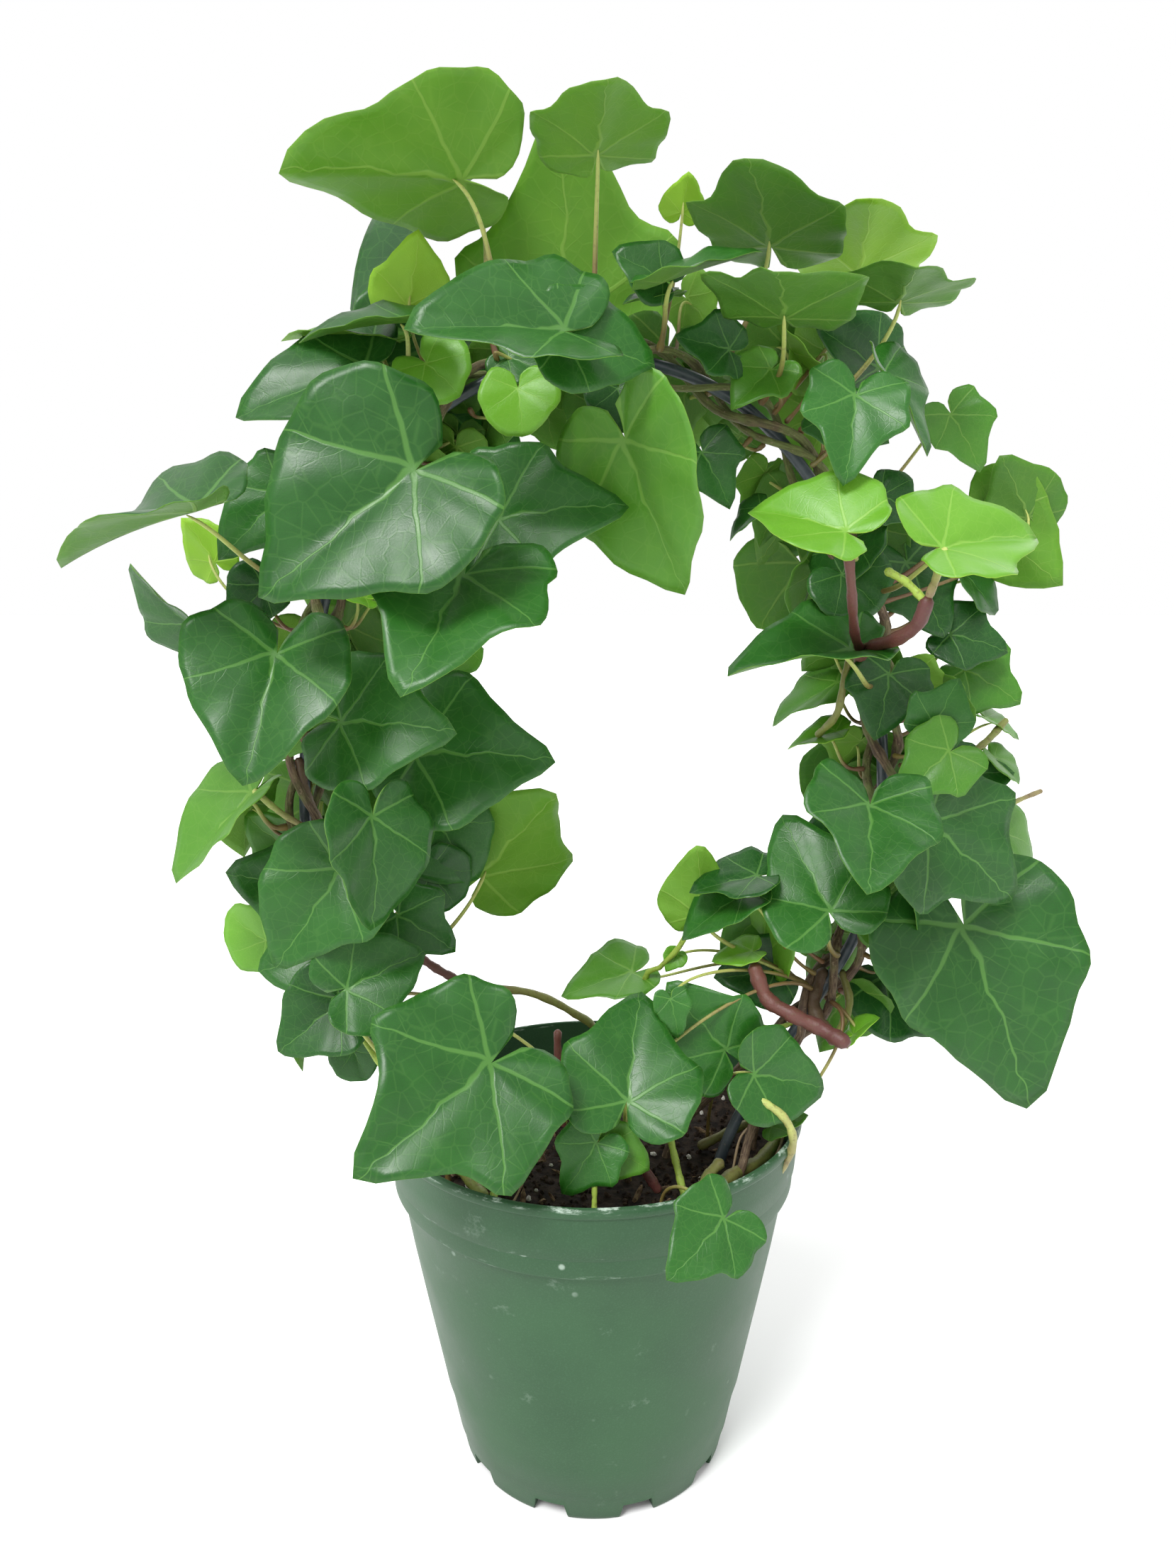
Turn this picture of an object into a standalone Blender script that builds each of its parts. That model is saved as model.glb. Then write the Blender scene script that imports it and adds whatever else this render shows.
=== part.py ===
"""Potted ivy: a nursery pot of soil, a wire hoop, six vines twisted round it and their leaves.

Lengths are metres, +Z is up. The origin is the centre of the pot's underside and the hoop stands
in the XZ plane, so the plant's open face looks along Y. Hand-placed points are in millimetres.
"""
import math

import bmesh
import bpy
import numpy as np
from mathutils import Vector
from mathutils.bvhtree import BVHTree

MM = 0.001

# ---- driving dimensions ------------------------------------------------------------------------
POT_RIM_R = 0.076        # outside radius of the lip
POT_HEIGHT = 0.135
POT_BASE_R = 0.049
POT_WALL = 0.0013
BAND_HEIGHT = 0.026      # the thicker band below the lip
SOIL_DEPTH = 0.016       # from the lip down to the soil
HOOP_TOP = 0.396         # centre of the wire above the ground
HOOP_HALF_WIDTH = 0.102
WIRE_R = 0.002
VINE_R = 0.0018
TWIST_R = 0.0056         # radius of the helix that the vines follow round the wire
TWIST_PITCH = 0.062
LEAF_SIZE = 1.0          # scale of every blade
LEAF_THICK = 0.0007
PETIOLE_R = 0.0010
GAP = 0.0003             # kept between separate pieces
SLOT_COUNT = 10          # drainage slots round the base
SLOT_HEIGHT = 0.0060
SLOT_WIDTH = 0.013

SOIL_Z = POT_HEIGHT - SOIL_DEPTH

# ---- scene -------------------------------------------------------------------------------------
for old in list(bpy.data.objects):
    bpy.data.objects.remove(old, do_unlink=True)

plant = bpy.data.collections.new("potted_ivy")
guides = bpy.data.collections.new("cutters")
bpy.context.scene.collection.children.link(plant)
bpy.context.scene.collection.children.link(guides)


def material(name, color, roughness):
    mat = bpy.data.materials.new(name)
    mat.use_nodes = True
    shader = mat.node_tree.nodes["Principled BSDF"]
    shader.inputs["Base Color"].default_value = (*color, 1.0)
    shader.inputs["Roughness"].default_value = roughness
    shader.inputs["Metallic"].default_value = 0.0
    mat.diffuse_color = (*color, 1.0)
    return mat


POT_MAT = material("pot", (0.055, 0.185, 0.090), 0.48)
SOIL_MAT = material("soil", (0.012, 0.008, 0.006), 0.95)
WIRE_MAT = material("wire", (0.035, 0.048, 0.058), 0.38)
STEM_MAT = material("stem", (0.085, 0.048, 0.026), 0.75)
LEAF_MAT = material("leaf", (0.016, 0.105, 0.022), 0.42)
YOUNG_MAT = material("leaf_young", (0.12, 0.36, 0.035), 0.45)


def add_object(name, data, mat, collection=plant):
    obj = bpy.data.objects.new(name, data)
    collection.objects.link(obj)
    data.materials.clear()
    data.materials.append(mat)
    return obj


def as_cutter(obj):
    obj.hide_render = True
    obj.display_type = 'WIRE'
    return obj


def evaluated_mesh(obj):
    """A plain mesh of an object as it looks with its modifiers, with loose caps welded."""
    bpy.context.view_layer.update()
    graph = bpy.context.evaluated_depsgraph_get()
    mesh = bpy.data.meshes.new_from_object(obj.evaluated_get(graph))
    bm = bmesh.new()
    bm.from_mesh(mesh)
    bmesh.ops.remove_doubles(bm, verts=bm.verts, dist=1e-6)
    bm.to_mesh(mesh)
    bm.free()
    return mesh


def boolean(target, cutter, operation):
    mod = target.modifiers.new(operation.lower(), 'BOOLEAN')
    mod.operation = operation
    mod.solver = 'EXACT'
    mod.object = cutter
    return mod


def turned(name, profile, steps, mat, collection=plant):
    """A solid turned about Z from (radius, height) pairs in metres."""
    mesh = bpy.data.meshes.new(name)
    verts = [(r, 0.0, z) for r, z in profile]
    mesh.from_pydata(verts, [(i, i + 1) for i in range(len(verts) - 1)], [])
    obj = add_object(name, mesh, mat, collection)
    screw = obj.modifiers.new("turn", 'SCREW')
    screw.steps = screw.render_steps = steps
    screw.use_merge_vertices = True
    screw.merge_threshold = 1e-5
    screw.use_smooth_shade = True
    return obj


def tube(name, points, radius, resolution, mat, collection=plant):
    """A round bar along a list of points."""
    curve = bpy.data.curves.new(name, 'CURVE')
    curve.dimensions = '3D'
    curve.bevel_depth = radius
    curve.bevel_resolution = resolution
    curve.use_fill_caps = True
    spline = curve.splines.new('POLY')
    spline.points.add(len(points) - 1)
    for point, p in zip(spline.points, points):
        point.co = (p[0], p[1], p[2], 1.0)
    return add_object(name, curve, mat, collection)


def smooth_route(points, count):
    """Evenly spaced points on a Catmull-Rom curve through the given ones."""
    p = [2 * points[0] - points[1]] + list(points) + [2 * points[-1] - points[-2]]
    dense = []
    for i in range(1, len(p) - 2):
        for k in range(24):
            t = k / 24
            dense.append(0.5 * (2 * p[i] + (p[i + 1] - p[i - 1]) * t
                                + (2 * p[i - 1] - 5 * p[i] + 4 * p[i + 1] - p[i + 2]) * t ** 2
                                + (3 * p[i] - p[i - 1] - 3 * p[i + 1] + p[i + 2]) * t ** 3))
    dense.append(p[-2])
    dense = np.array(dense)
    length = np.concatenate([[0], np.cumsum(np.linalg.norm(np.diff(dense, axis=0), axis=1))])
    at = np.linspace(0, length[-1], count)
    return np.stack([np.interp(at, length, dense[:, k]) for k in range(3)], axis=1), length[-1]


# ---- pot: turned shell with drainage slots through its bottom edge ------------------------------
band_z = POT_HEIGHT - BAND_HEIGHT
KNEE_Z = 0.030
KNEE_R = POT_BASE_R + 0.0072
wall_r = POT_RIM_R - 0.0056
outer = [
    (POT_RIM_R - 0.0012, POT_HEIGHT), (POT_RIM_R, POT_HEIGHT - 0.0010),
    (POT_RIM_R, POT_HEIGHT - 0.0032), (POT_RIM_R - 0.0010, POT_HEIGHT - 0.0040),
    (POT_RIM_R - 0.0022, POT_HEIGHT - 0.0188), (POT_RIM_R - 0.0027, POT_HEIGHT - 0.0194),
    (POT_RIM_R - 0.0030, band_z + 0.0008), (POT_RIM_R - 0.0036, band_z), (wall_r, band_z - 0.0004),
    (KNEE_R, KNEE_Z), (POT_BASE_R + 0.0004, 0.0008), (POT_BASE_R - 0.0004, 0.0), (0.0, 0.0)]
inner = [
    (0.0, 0.0016), (POT_BASE_R - POT_WALL, 0.0016), (KNEE_R - POT_WALL, KNEE_Z),
    (wall_r - POT_WALL, band_z - 0.0030), (POT_RIM_R - 0.0036 - POT_WALL, band_z + 0.0002),
    (POT_RIM_R - 0.0010 - POT_WALL, POT_HEIGHT - 0.0012), (POT_RIM_R - 0.0022, POT_HEIGHT)]
pot = turned("pot", inner + outer, 48, POT_MAT)

slots = bmesh.new()
for k in range(SLOT_COUNT):
    angle = 2 * math.pi * (k + 0.5) / SLOT_COUNT - math.pi / 2
    box = bmesh.ops.create_cube(slots, size=1.0)["verts"]
    bmesh.ops.scale(slots, verts=box, vec=(0.011, SLOT_WIDTH, 2 * SLOT_HEIGHT))
    bmesh.ops.translate(slots, verts=box, vec=(POT_BASE_R + 0.0005, 0, 0))
    spin = np.array([[math.cos(angle), -math.sin(angle)], [math.sin(angle), math.cos(angle)]])
    for v in box:
        v.co.x, v.co.y = spin @ (v.co.x, v.co.y)
slot_mesh = bpy.data.meshes.new("drainage_slots")
slots.to_mesh(slot_mesh)
slots.free()
boolean(pot, as_cutter(add_object("drainage_slots", slot_mesh, POT_MAT, guides)), 'DIFFERENCE')


def pot_inside_r(z):
    rows = sorted((p[1], p[0]) for p in inner[1:])
    return float(np.interp(z, [r[0] for r in rows], [r[1] for r in rows]))


# ---- hoop: a closed teardrop of wire whose legs stand deep in the soil ---------------------------
# right half as (x, z) in mm from the top down; the feet come forward in Y
HALF_HOOP = [(0, 396), (20, 393.5), (38, 387), (55, 376), (73, 356), (88, 328), (97, 294), (101, 258),
             (101, 226), (95, 201), (84, 182), (71, 163), (54, 139), (44, 117), (40, 90), (39, 58)]
LEG_RISE = 0.080         # the feet stay in the pot and spread to the hoop's width over this height
SX = HOOP_HALF_WIDTH / 0.102
SZ = (HOOP_TOP - SOIL_Z) / 0.277


def place(x, y, z):
    """Hand-placed millimetres to metres, following the hoop's width and height above the pot."""
    high = z * MM - 0.119
    spread = 1 + (SX - 1) * min(1.0, max(0.0, high / LEG_RISE))
    return np.array([x * MM * spread, y * MM, SOIL_Z + (high * SZ if high > 0 else high)])


def foot_y(z):
    return -19 * (1 - min(1, max(0, (z - 117) / 90))) ** 1.3


right_half = [place(x, foot_y(z), z) for x, z in HALF_HOOP]
left_half = [p * (-1, 1, 1) for p in reversed(right_half[1:])]
hoop_route, HOOP_LENGTH = smooth_route(left_half + right_half, 161)
hoop_bar = hoop_route[::2]
hoop = tube("hoop", hoop_bar, WIRE_R, 2, WIRE_MAT)

step = HOOP_LENGTH / 160
tangents = np.gradient(hoop_route, axis=0)
tangents /= np.linalg.norm(tangents, axis=1)[:, None]
across = np.cross(tangents, (0, 1, 0))
across /= np.linalg.norm(across, axis=1)[:, None]
forward = np.cross(across, tangents)
above_soil = [i for i in range(161) if hoop_route[i][2] > SOIL_Z]
FIRST, LAST = above_soil[0], above_soil[-1]


def twist_point(i, phase, radius, wound=None):
    """A point beside the wire at station i (may be fractional), on the helix of this phase."""
    at, a, f = (np.array([np.interp(i, range(161), rows[:, k]) for k in range(3)])
                for rows in (hoop_route, across, forward))
    turn = phase + 2 * math.pi * (i if wound is None else wound) * step / TWIST_PITCH
    return at + radius * (math.cos(turn) * a + math.sin(turn) * f)


# ---- vines: three climb each leg and wind round the wire -----------------------------------------
# name, side, phase in degrees, how far round the hoop the tip reaches (0 left foot .. 1 right foot)
VINES = [("vine_left_1", "left", 0, 0.66), ("vine_left_2", "left", 120, 0.50),
         ("vine_left_3", "left", 240, 0.36), ("vine_right_1", "right", 60, 0.34),
         ("vine_right_2", "right", 180, 0.52), ("vine_right_3", "right", 300, 0.64)]
FLARE = 0.013            # how far the vines stand away from the leg where they enter the soil
FLARE_LENGTH = 0.050


def vine_route(side, phase, reach):
    foot = FIRST if side == "left" else LAST
    end = FIRST + reach * (LAST - FIRST)
    sign = 1 if side == "left" else -1
    start = foot - sign * 0.011 / step
    count = max(12, int(abs(end - start) * step / 0.0095))
    route = []
    for i in np.linspace(start, end, count):
        gone = (i - foot) * sign * step
        low = min(1.0, max(0.0, 1 - gone / FLARE_LENGTH))
        wound = i if low == 0.0 else foot + sign * FLARE_LENGTH / step
        route.append(twist_point(i, math.radians(phase), TWIST_R + FLARE * low ** 2, wound))
    return route


vine_routes = {name: vine_route(side, phase, reach) for name, side, phase, reach in VINES}
vines = [tube(name, vine_routes[name], VINE_R, 1, STEM_MAT) for name, *_ in VINES]

# ---- soil: fills the pot, with sockets for the legs and the vines --------------------------------
soil = turned("soil", [
    (0.0, SOIL_Z + 0.0015), (0.020, SOIL_Z + 0.0008), (0.038, SOIL_Z + 0.0012), (0.055, SOIL_Z),
    (pot_inside_r(SOIL_Z) - 0.003, SOIL_Z - 0.0002)]
    + [(pot_inside_r(z) - GAP - 0.0003, z) for z in (SOIL_Z - 0.001, band_z - 0.003, KNEE_Z, 0.0019)]
    + [(0.0, 0.0019)], 32, SOIL_MAT)


def socket(name, points, radius):
    """Cuts the soil to clear a bar whose points run from its buried end up to the air."""
    below = points[0] - points[1]
    points = [points[0] + below / np.linalg.norm(below) * 2 * GAP] + list(points[1:])
    raw = tube(name + "_curve", points, radius + GAP, 2, SOIL_MAT, guides)
    cutter = as_cutter(add_object(name, evaluated_mesh(raw), SOIL_MAT, guides))
    bpy.data.objects.remove(raw, do_unlink=True)
    boolean(soil, cutter, 'DIFFERENCE')


socket("socket_left", hoop_bar[:(FIRST + 4) // 2 + 1], WIRE_R)
socket("socket_right", hoop_bar[:(LAST - 3) // 2 - 1:-1], WIRE_R)
for name, *_ in VINES:
    socket("socket_" + name, vine_routes[name][:4], VINE_R)

# ---- leaves --------------------------------------------------------------------------------------
# Outlines as (angle from the tip in degrees, radius as a share of the hub-to-tip length)
OUTLINES = {
    "spade": [(0, 1.0), (21, 0.74), (42, 0.64), (63, 0.61), (84, 0.57), (105, 0.52), (126, 0.45), (147, 0.36),
              (168, 0.18)],
    "arrow": [(0, 1.0), (21, 0.68), (42, 0.53), (63, 0.53), (84, 0.46), (105, 0.42), (126, 0.41), (147, 0.32),
              (168, 0.15)],
    "lobed": [(0, 1.0), (21, 0.70), (42, 0.62), (60, 0.70), (84, 0.54), (105, 0.52), (126, 0.48), (147, 0.37),
              (168, 0.18)],
    "round": [(0, 1.0), (28, 0.92), (60, 0.88), (100, 0.78), (140, 0.60), (168, 0.25)]}

# name, hub and tip as (x, z) in the hoop's plane, how far hub and tip stand ahead of it (mm), outline,
# where the upper side faces, fold, finish, where the petiole starts: None (nearest vine) or soil (x, y)
LEAVES = [
    # crown
    ("leaf_01", (1, 457), (3, 484), 5, 40, "lobed", "up", .3, "pale", None),
    ("leaf_02", (-42, 450), (-102, 457), 5, 20, "spade", "over", .3, "pale", None),
    ("leaf_03", (-44, 446), (-84, 413), -50, -40, "spade", "left", .3, "deep", None),
    ("leaf_04", (-8, 406), (-12, 473), -40, -30, "lobed", "back", .1, "pale", None),
    ("leaf_05", (-10, 404), (-62, 410), 50, 65, "spade", "slope", .4, "deep", None),
    ("leaf_06", (57, 430), (48, 461), 5, 42, "lobed", "up", .2, "deep", None),
    ("leaf_07", (86, 422), (88, 449), -25, 10, "lobed", "up", .2, "young", None),
    ("leaf_08", (22, 419), (54, 431), 25, 30, "spade", "up", .3, "deep", None),
    ("leaf_09", (62, 408), (58, 429), 35, 72, "lobed", "up", .3, "deep", None),
    ("leaf_10", (99, 413), (104, 429), 10, 45, "lobed", "up", .2, "deep", None),
    ("leaf_11", (95, 391), (113, 367), 25, 30, "lobed", "right", .4, "deep", None),
    ("leaf_12", (93, 392), (73, 408), -10, 0, "spade", "front", .3, "deep", None),
    ("leaf_13", (10, 370), (27, 315), 25, 35, "spade", "left", .2, "pale", None),
    ("leaf_14", (-32, 345), (10, 350), 25, 35, "lobed", "front", .2, "deep", None),
    # left side
    ("leaf_15", (-44, 326), (-67, 290), 45, 85, "lobed", "front", .3, "deep", None),
    ("leaf_16", (-60, 360), (-120, 318), 55, 70, "spade", "front", .3, "deep", None),
    ("leaf_17", (-70, 392), (-17, 356), -25, -20, "spade", "front", .5, "deep", None),
    ("leaf_18", (-75, 392), (-120, 381), 0, 5, "spade", "slope", .2, "deep", None),
    ("leaf_19", (-134, 347), (-186, 335), 45, 40, "lobed", "up", .4, "deep", None),
    ("leaf_20", (-138, 309), (-161, 329), 5, 15, "spade", "left", .4, "deep", None),
    ("leaf_21", (-109, 299), (-126, 251), 45, 70, "spade", "front", .4, "deep", None),
    ("leaf_22", (-88, 276), (-49, 273), 35, 50, "spade", "front", .1, "deep", None),
    ("leaf_23", (-62, 265), (-14, 263), 15, 30, "spade", "front", .1, "deep", None),
    ("leaf_24", (-40, 220), (-12, 257), -5, 5, "lobed", "back", .3, "pale", None),
    ("leaf_25", (-78, 242), (-77, 197), 45, 55, "spade", "right", .2, "deep", None),
    ("leaf_26", (-90, 222), (-118, 185), 35, 45, "spade", "front", .3, "deep", None),
    ("leaf_27", (-120, 250), (-153, 220), 10, 20, "spade", "left", .4, "pale", None),
    ("leaf_28", (-92, 173), (-119, 152), 20, 30, "spade", "front", .3, "deep", None),
    ("leaf_29", (-90, 178), (-58, 193), 50, 40, "spade", "front", .3, "deep", (-50, -34)),
    # over the pot
    ("leaf_30", (-38, 149), (-93, 101), 65, 95, "lobed", "front", .2, "deep", (-30, -30)),
    ("leaf_31", (12, 134), (18, 180), 55, 30, "lobed", "front", .2, "deep", (12, -28)),
    ("leaf_32", (59, 145), (88, 138), 35, 30, "spade", "front", .3, "deep", (42, -4)),
    ("leaf_33", (48, 154), (27, 180), 25, 25, "lobed", "front", .2, "deep", (30, 8)),
    ("leaf_34", (49, 86), (28, 60), 85, 100, "lobed", "front", .1, "deep", (22, -50)),
    # right side
    ("leaf_35", (84, 340), (50, 352), 65, 50, "spade", "slope", .4, "young", None),
    ("leaf_36", (117, 335), (151, 341), 60, 50, "lobed", "slope", .4, "young", None),
    ("leaf_37", (88, 300), (42, 297), 35, 35, "spade", "up", .4, "deep", None),
    ("leaf_38", (86, 384), (84, 360), 22, 35, "lobed", "front", .2, "deep", None),
    ("leaf_39", (106, 330), (121, 304), -10, 0, "lobed", "front", .2, "deep", None),
    ("leaf_40", (84, 289), (59, 276), -15, -20, "spade", "up", .2, "pale", None),
    ("leaf_41", (97, 246), (98, 213), 45, 75, "lobed", "front", .4, "deep", None),
    ("leaf_42", (118, 240), (153, 209), 30, 30, "lobed", "front", .2, "deep", None),
    ("leaf_43", (84, 207), (67, 244), 30, 10, "spade", "front", .1, "deep", None),
    ("leaf_44", (133, 202), (164, 131), 15, 35, "spade", "front", .3, "deep", None),
    ("leaf_45", (106, 184), (138, 160), -5, 0, "spade", "front", .3, "deep", None),
    ("leaf_46", (38, 206), (36, 235), 10, 15, "arrow", "back", .3, "pale", None),
    # back
    ("leaf_47", (-70, 330), (-90, 290), -35, -45, "lobed", "back", .2, "deep", None),
    ("leaf_48", (-30, 400), (-55, 365), -50, -60, "lobed", "back", .2, "deep", None),
    ("leaf_49", (70, 330), (90, 295), -35, -45, "lobed", "back", .2, "deep", None),
    ("leaf_50", (-95, 250), (-90, 210), -30, -40, "spade", "back", .2, "deep", None),
    ("leaf_51", (100, 260), (90, 220), -30, -40, "spade", "back", .2, "deep", None)]

COLUMNS = 16             # samples round a blade from one side of the cleft to the other
RINGS = 2
DROOP = 0.12             # how far a tip hangs below its midrib, as a share of the length
FRONT = np.array((0.0, -0.405, 0.333))   # the point in front of the plant that leaves move towards
FACINGS = {"front": (0, -1, 0.4), "slope": (0, -1, 1), "up": (0, -0.3, 1), "over": (0, 0.6, 1),
           "back": (0, 1, 0.6), "left": (-1, -0.7, 0.5), "right": (1, -0.7, 0.5)}


def unit(v):
    return v / np.linalg.norm(v)


def ahead_of(spot, ahead):
    """A spot of the hoop's plane moved towards the front point until it stands this far ahead."""
    p = place(spot[0], 0, spot[1])
    return p + (FRONT - p) * (ahead * MM / -FRONT[1])


def blade_point(outline, length, fold, droop, angle, share):
    """A point of the blade in its own axes: along the midrib, across it, and off the face."""
    rows = OUTLINES[outline]
    reach = float(np.interp(abs(math.degrees(angle)), [r[0] for r in rows], [r[1] for r in rows]))
    along = share * reach * math.cos(angle)
    side = share * reach * math.sin(angle)
    off = fold * abs(side) * (1 - 0.45 * abs(side)) - droop * along * abs(along)
    off += 0.035 * share ** 2 * math.sin(5 * angle)
    return length * along, length * side, length * off


class Leaf:
    """Blade and petiole of one leaf, in metres."""

    def __init__(self, row, nearer=0.0, shift=0.0, bow=0.3, shrink=1.0):
        self.name, hub, tip, ahead, tip_ahead, self.outline, facing, self.fold, self.finish, self.start = row
        self.hub, tip = ahead_of(hub, ahead), ahead_of(tip, tip_ahead)
        self.length = float(np.linalg.norm(tip - self.hub)) * LEAF_SIZE * shrink
        self.mid = unit(tip - self.hub)
        self.hub = self.hub + unit(FRONT - self.hub) * nearer
        upper = np.array(FACINGS[facing])
        self.face = unit(upper - upper.dot(self.mid) * self.mid)
        self.side = np.cross(self.face, self.mid)
        self.base, self.out = self.petiole_start(shift)
        self.bow = bow

    def petiole_start(self, shift):
        if self.start:
            x, y = self.start
            return np.array([x * MM, y * MM + shift, SOIL_Z + 0.0022]), np.array([0.0, 0.0, 1.0])
        low = self.hub - (0, 0, 0.014)
        near = int(np.argmin(np.linalg.norm(hoop_route[FIRST + 12:LAST - 12] - low, axis=1))) + FIRST + 12
        near = min(LAST - 12, max(FIRST + 12, near + int(round(shift / step))))
        gap = self.hub - hoop_route[near]
        out = unit(gap - gap.dot(tangents[near]) * tangents[near])
        return hoop_route[near] + out * (TWIST_R + VINE_R + PETIOLE_R + 2 * GAP), out

    def petiole_points(self, count=6):
        end = self.hub + self.mid * 0.0015 - self.face * 0.0002
        span = np.linalg.norm(end - self.base)
        first = self.base + self.out * span * 0.45
        last = end - (self.mid * 0.35 + self.face * self.bow) * span * 0.6
        points = []
        for t in np.linspace(0, 1, count):
            points.append(((1 - t) ** 3) * self.base + 3 * (1 - t) ** 2 * t * first
                          + 3 * (1 - t) * t * t * last + t ** 3 * end)
        return points

    def to_world(self, p):
        return self.hub + self.mid * p[0] + self.side * p[1] + self.face * p[2]

    def sample(self, column, ring):
        angle = math.radians(168) * (2 * column / COLUMNS - 1)
        p = blade_point(self.outline, self.length, self.fold, DROOP, angle, ring / RINGS)
        return self.to_world(p)

    def test_tree(self):
        """A thickened stand-in used to find out whether this leaf would touch another."""
        verts, faces = [], []
        clear = LEAF_THICK / 2 + 2 * GAP
        for sign in (1, -1):
            base = len(verts)
            for c in range(COLUMNS + 1):
                for r in range(RINGS + 1):
                    verts.append(self.sample(c, r * 1.03) + self.face * clear * sign)
            for c in range(COLUMNS):
                for r in range(RINGS):
                    i = base + c * (RINGS + 1) + r
                    faces.append((i, i + 1, i + RINGS + 2, i + RINGS + 1))
        points = self.petiole_points()
        for k, p in enumerate(points[:-1]):
            q = points[k + 1]
            d = unit(q - p)
            a = unit(np.cross(d, (0.3, 0.5, 0.81)))
            b = np.cross(d, a)
            base = len(verts)
            for end in (p, q):
                for s in range(4):
                    w = math.pi / 2 * s
                    verts.append(end + (a * math.cos(w) + b * math.sin(w)) * (PETIOLE_R + 2 * GAP) * 1.2)
            for s in range(4):
                faces.append((base + s, base + (s + 1) % 4, base + 4 + (s + 1) % 4, base + 4 + s))
        return BVHTree.FromPolygons([Vector(v) for v in verts], faces)

    def build(self, mat):
        grid = bmesh.new()
        bmesh.ops.create_grid(grid, x_segments=COLUMNS, y_segments=RINGS, size=0.5)
        for v in grid.verts:
            column, ring = round((v.co.x + 0.5) * COLUMNS), round((v.co.y + 0.5) * RINGS)
            v.co = Vector(self.sample(column, ring))
        bmesh.ops.remove_doubles(grid, verts=grid.verts, dist=1e-6)
        bmesh.ops.recalc_face_normals(grid, faces=grid.faces)
        sheet = bpy.data.meshes.new(self.name + "_sheet")
        grid.to_mesh(sheet)
        grid.free()
        blade = add_object(self.name, sheet, mat)
        solid = blade.modifiers.new("thickness", 'SOLIDIFY')
        solid.thickness = LEAF_THICK
        solid.offset = 0.0
        raw = tube(self.name + "_stalk_curve", self.petiole_points(), PETIOLE_R, 0, mat, guides)
        stalk = as_cutter(add_object(self.name + "_stalk", evaluated_mesh(raw), mat, guides))
        bpy.data.objects.remove(raw, do_unlink=True)
        boolean(blade, stalk, 'UNION')
        return blade


def tree_of(obj):
    mesh = evaluated_mesh(obj)
    tree = BVHTree.FromPolygons([v.co for v in mesh.vertices], [p.vertices[:] for p in mesh.polygons])
    bpy.data.meshes.remove(mesh)
    return tree


standing = [tree_of(obj) for obj in [pot, soil, hoop] + vines]
# ways to make room, in order of preference: nearer or farther, along the vine, bow of the stalk, size
TRIES = [(nearer, shift, bow, shrink) for shrink in (1.0, 0.88, 0.76, 0.64)
         for nearer in (0, .003, -.003, .006, -.006, .010, -.010, .015, -.015, .021, -.021, .030, -.030)
         for shift in (0, .006, -.006, .012, -.012, .020, -.020) for bow in (0.3, 0.7, -0.2)]
for row in LEAVES:
    for number, (nearer, shift, bow, shrink) in enumerate(TRIES):
        leaf = Leaf(row, nearer, shift, bow, shrink)
        tree = leaf.test_tree()
        if not any(tree.overlap(other) for other in standing):
            break
    else:
        print("no clear place for", row[0])
    if number:
        print(row[0], "moved: nearer %.3f shift %.3f bow %.1f size %.2f" % (nearer, shift, bow, shrink))
    leaf.build(YOUNG_MAT if leaf.finish == "young" else LEAF_MAT)
    standing.append(tree)
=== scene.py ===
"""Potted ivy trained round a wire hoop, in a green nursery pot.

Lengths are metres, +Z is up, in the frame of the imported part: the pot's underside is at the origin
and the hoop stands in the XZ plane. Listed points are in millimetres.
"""
import math
import random

import bmesh
import bpy
import numpy as np
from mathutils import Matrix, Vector, noise


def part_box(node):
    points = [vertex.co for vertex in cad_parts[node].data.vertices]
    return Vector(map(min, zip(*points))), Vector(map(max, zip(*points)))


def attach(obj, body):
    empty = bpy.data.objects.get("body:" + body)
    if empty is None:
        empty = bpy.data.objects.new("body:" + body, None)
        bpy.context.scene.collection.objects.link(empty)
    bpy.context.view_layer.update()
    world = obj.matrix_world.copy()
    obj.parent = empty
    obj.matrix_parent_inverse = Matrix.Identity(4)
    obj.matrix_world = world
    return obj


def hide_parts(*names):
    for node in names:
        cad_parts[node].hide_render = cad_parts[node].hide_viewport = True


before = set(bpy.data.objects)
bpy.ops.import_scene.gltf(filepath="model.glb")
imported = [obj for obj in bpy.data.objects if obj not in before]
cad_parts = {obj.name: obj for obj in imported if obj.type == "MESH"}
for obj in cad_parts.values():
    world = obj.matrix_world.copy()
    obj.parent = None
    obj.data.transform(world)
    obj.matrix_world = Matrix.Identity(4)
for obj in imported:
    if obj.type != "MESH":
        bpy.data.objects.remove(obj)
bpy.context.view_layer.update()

MM = 0.001
POT_LOW, POT_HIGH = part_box("pot")
RIM_R = (POT_HIGH.x - POT_LOW.x) / 2
POT_H = POT_HIGH.z
BASE_R = 0.049
SOIL_Z = POT_H - 0.016
WIRE_R = 0.002
VINE_R = 0.0018
TWIST_R = 0.0056
TWIST_PITCH = 0.062
PETIOLE_R = 0.0010
GAP = 0.0003
BAND_Z = POT_H - 0.026
VEIN_FAN = math.radians(56)    # between one main vein of a leaf and the next
NOTCH = 168                    # degrees from a leaf's tip round to the notch at its stalk
HOOP_POINTS = 161


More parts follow.
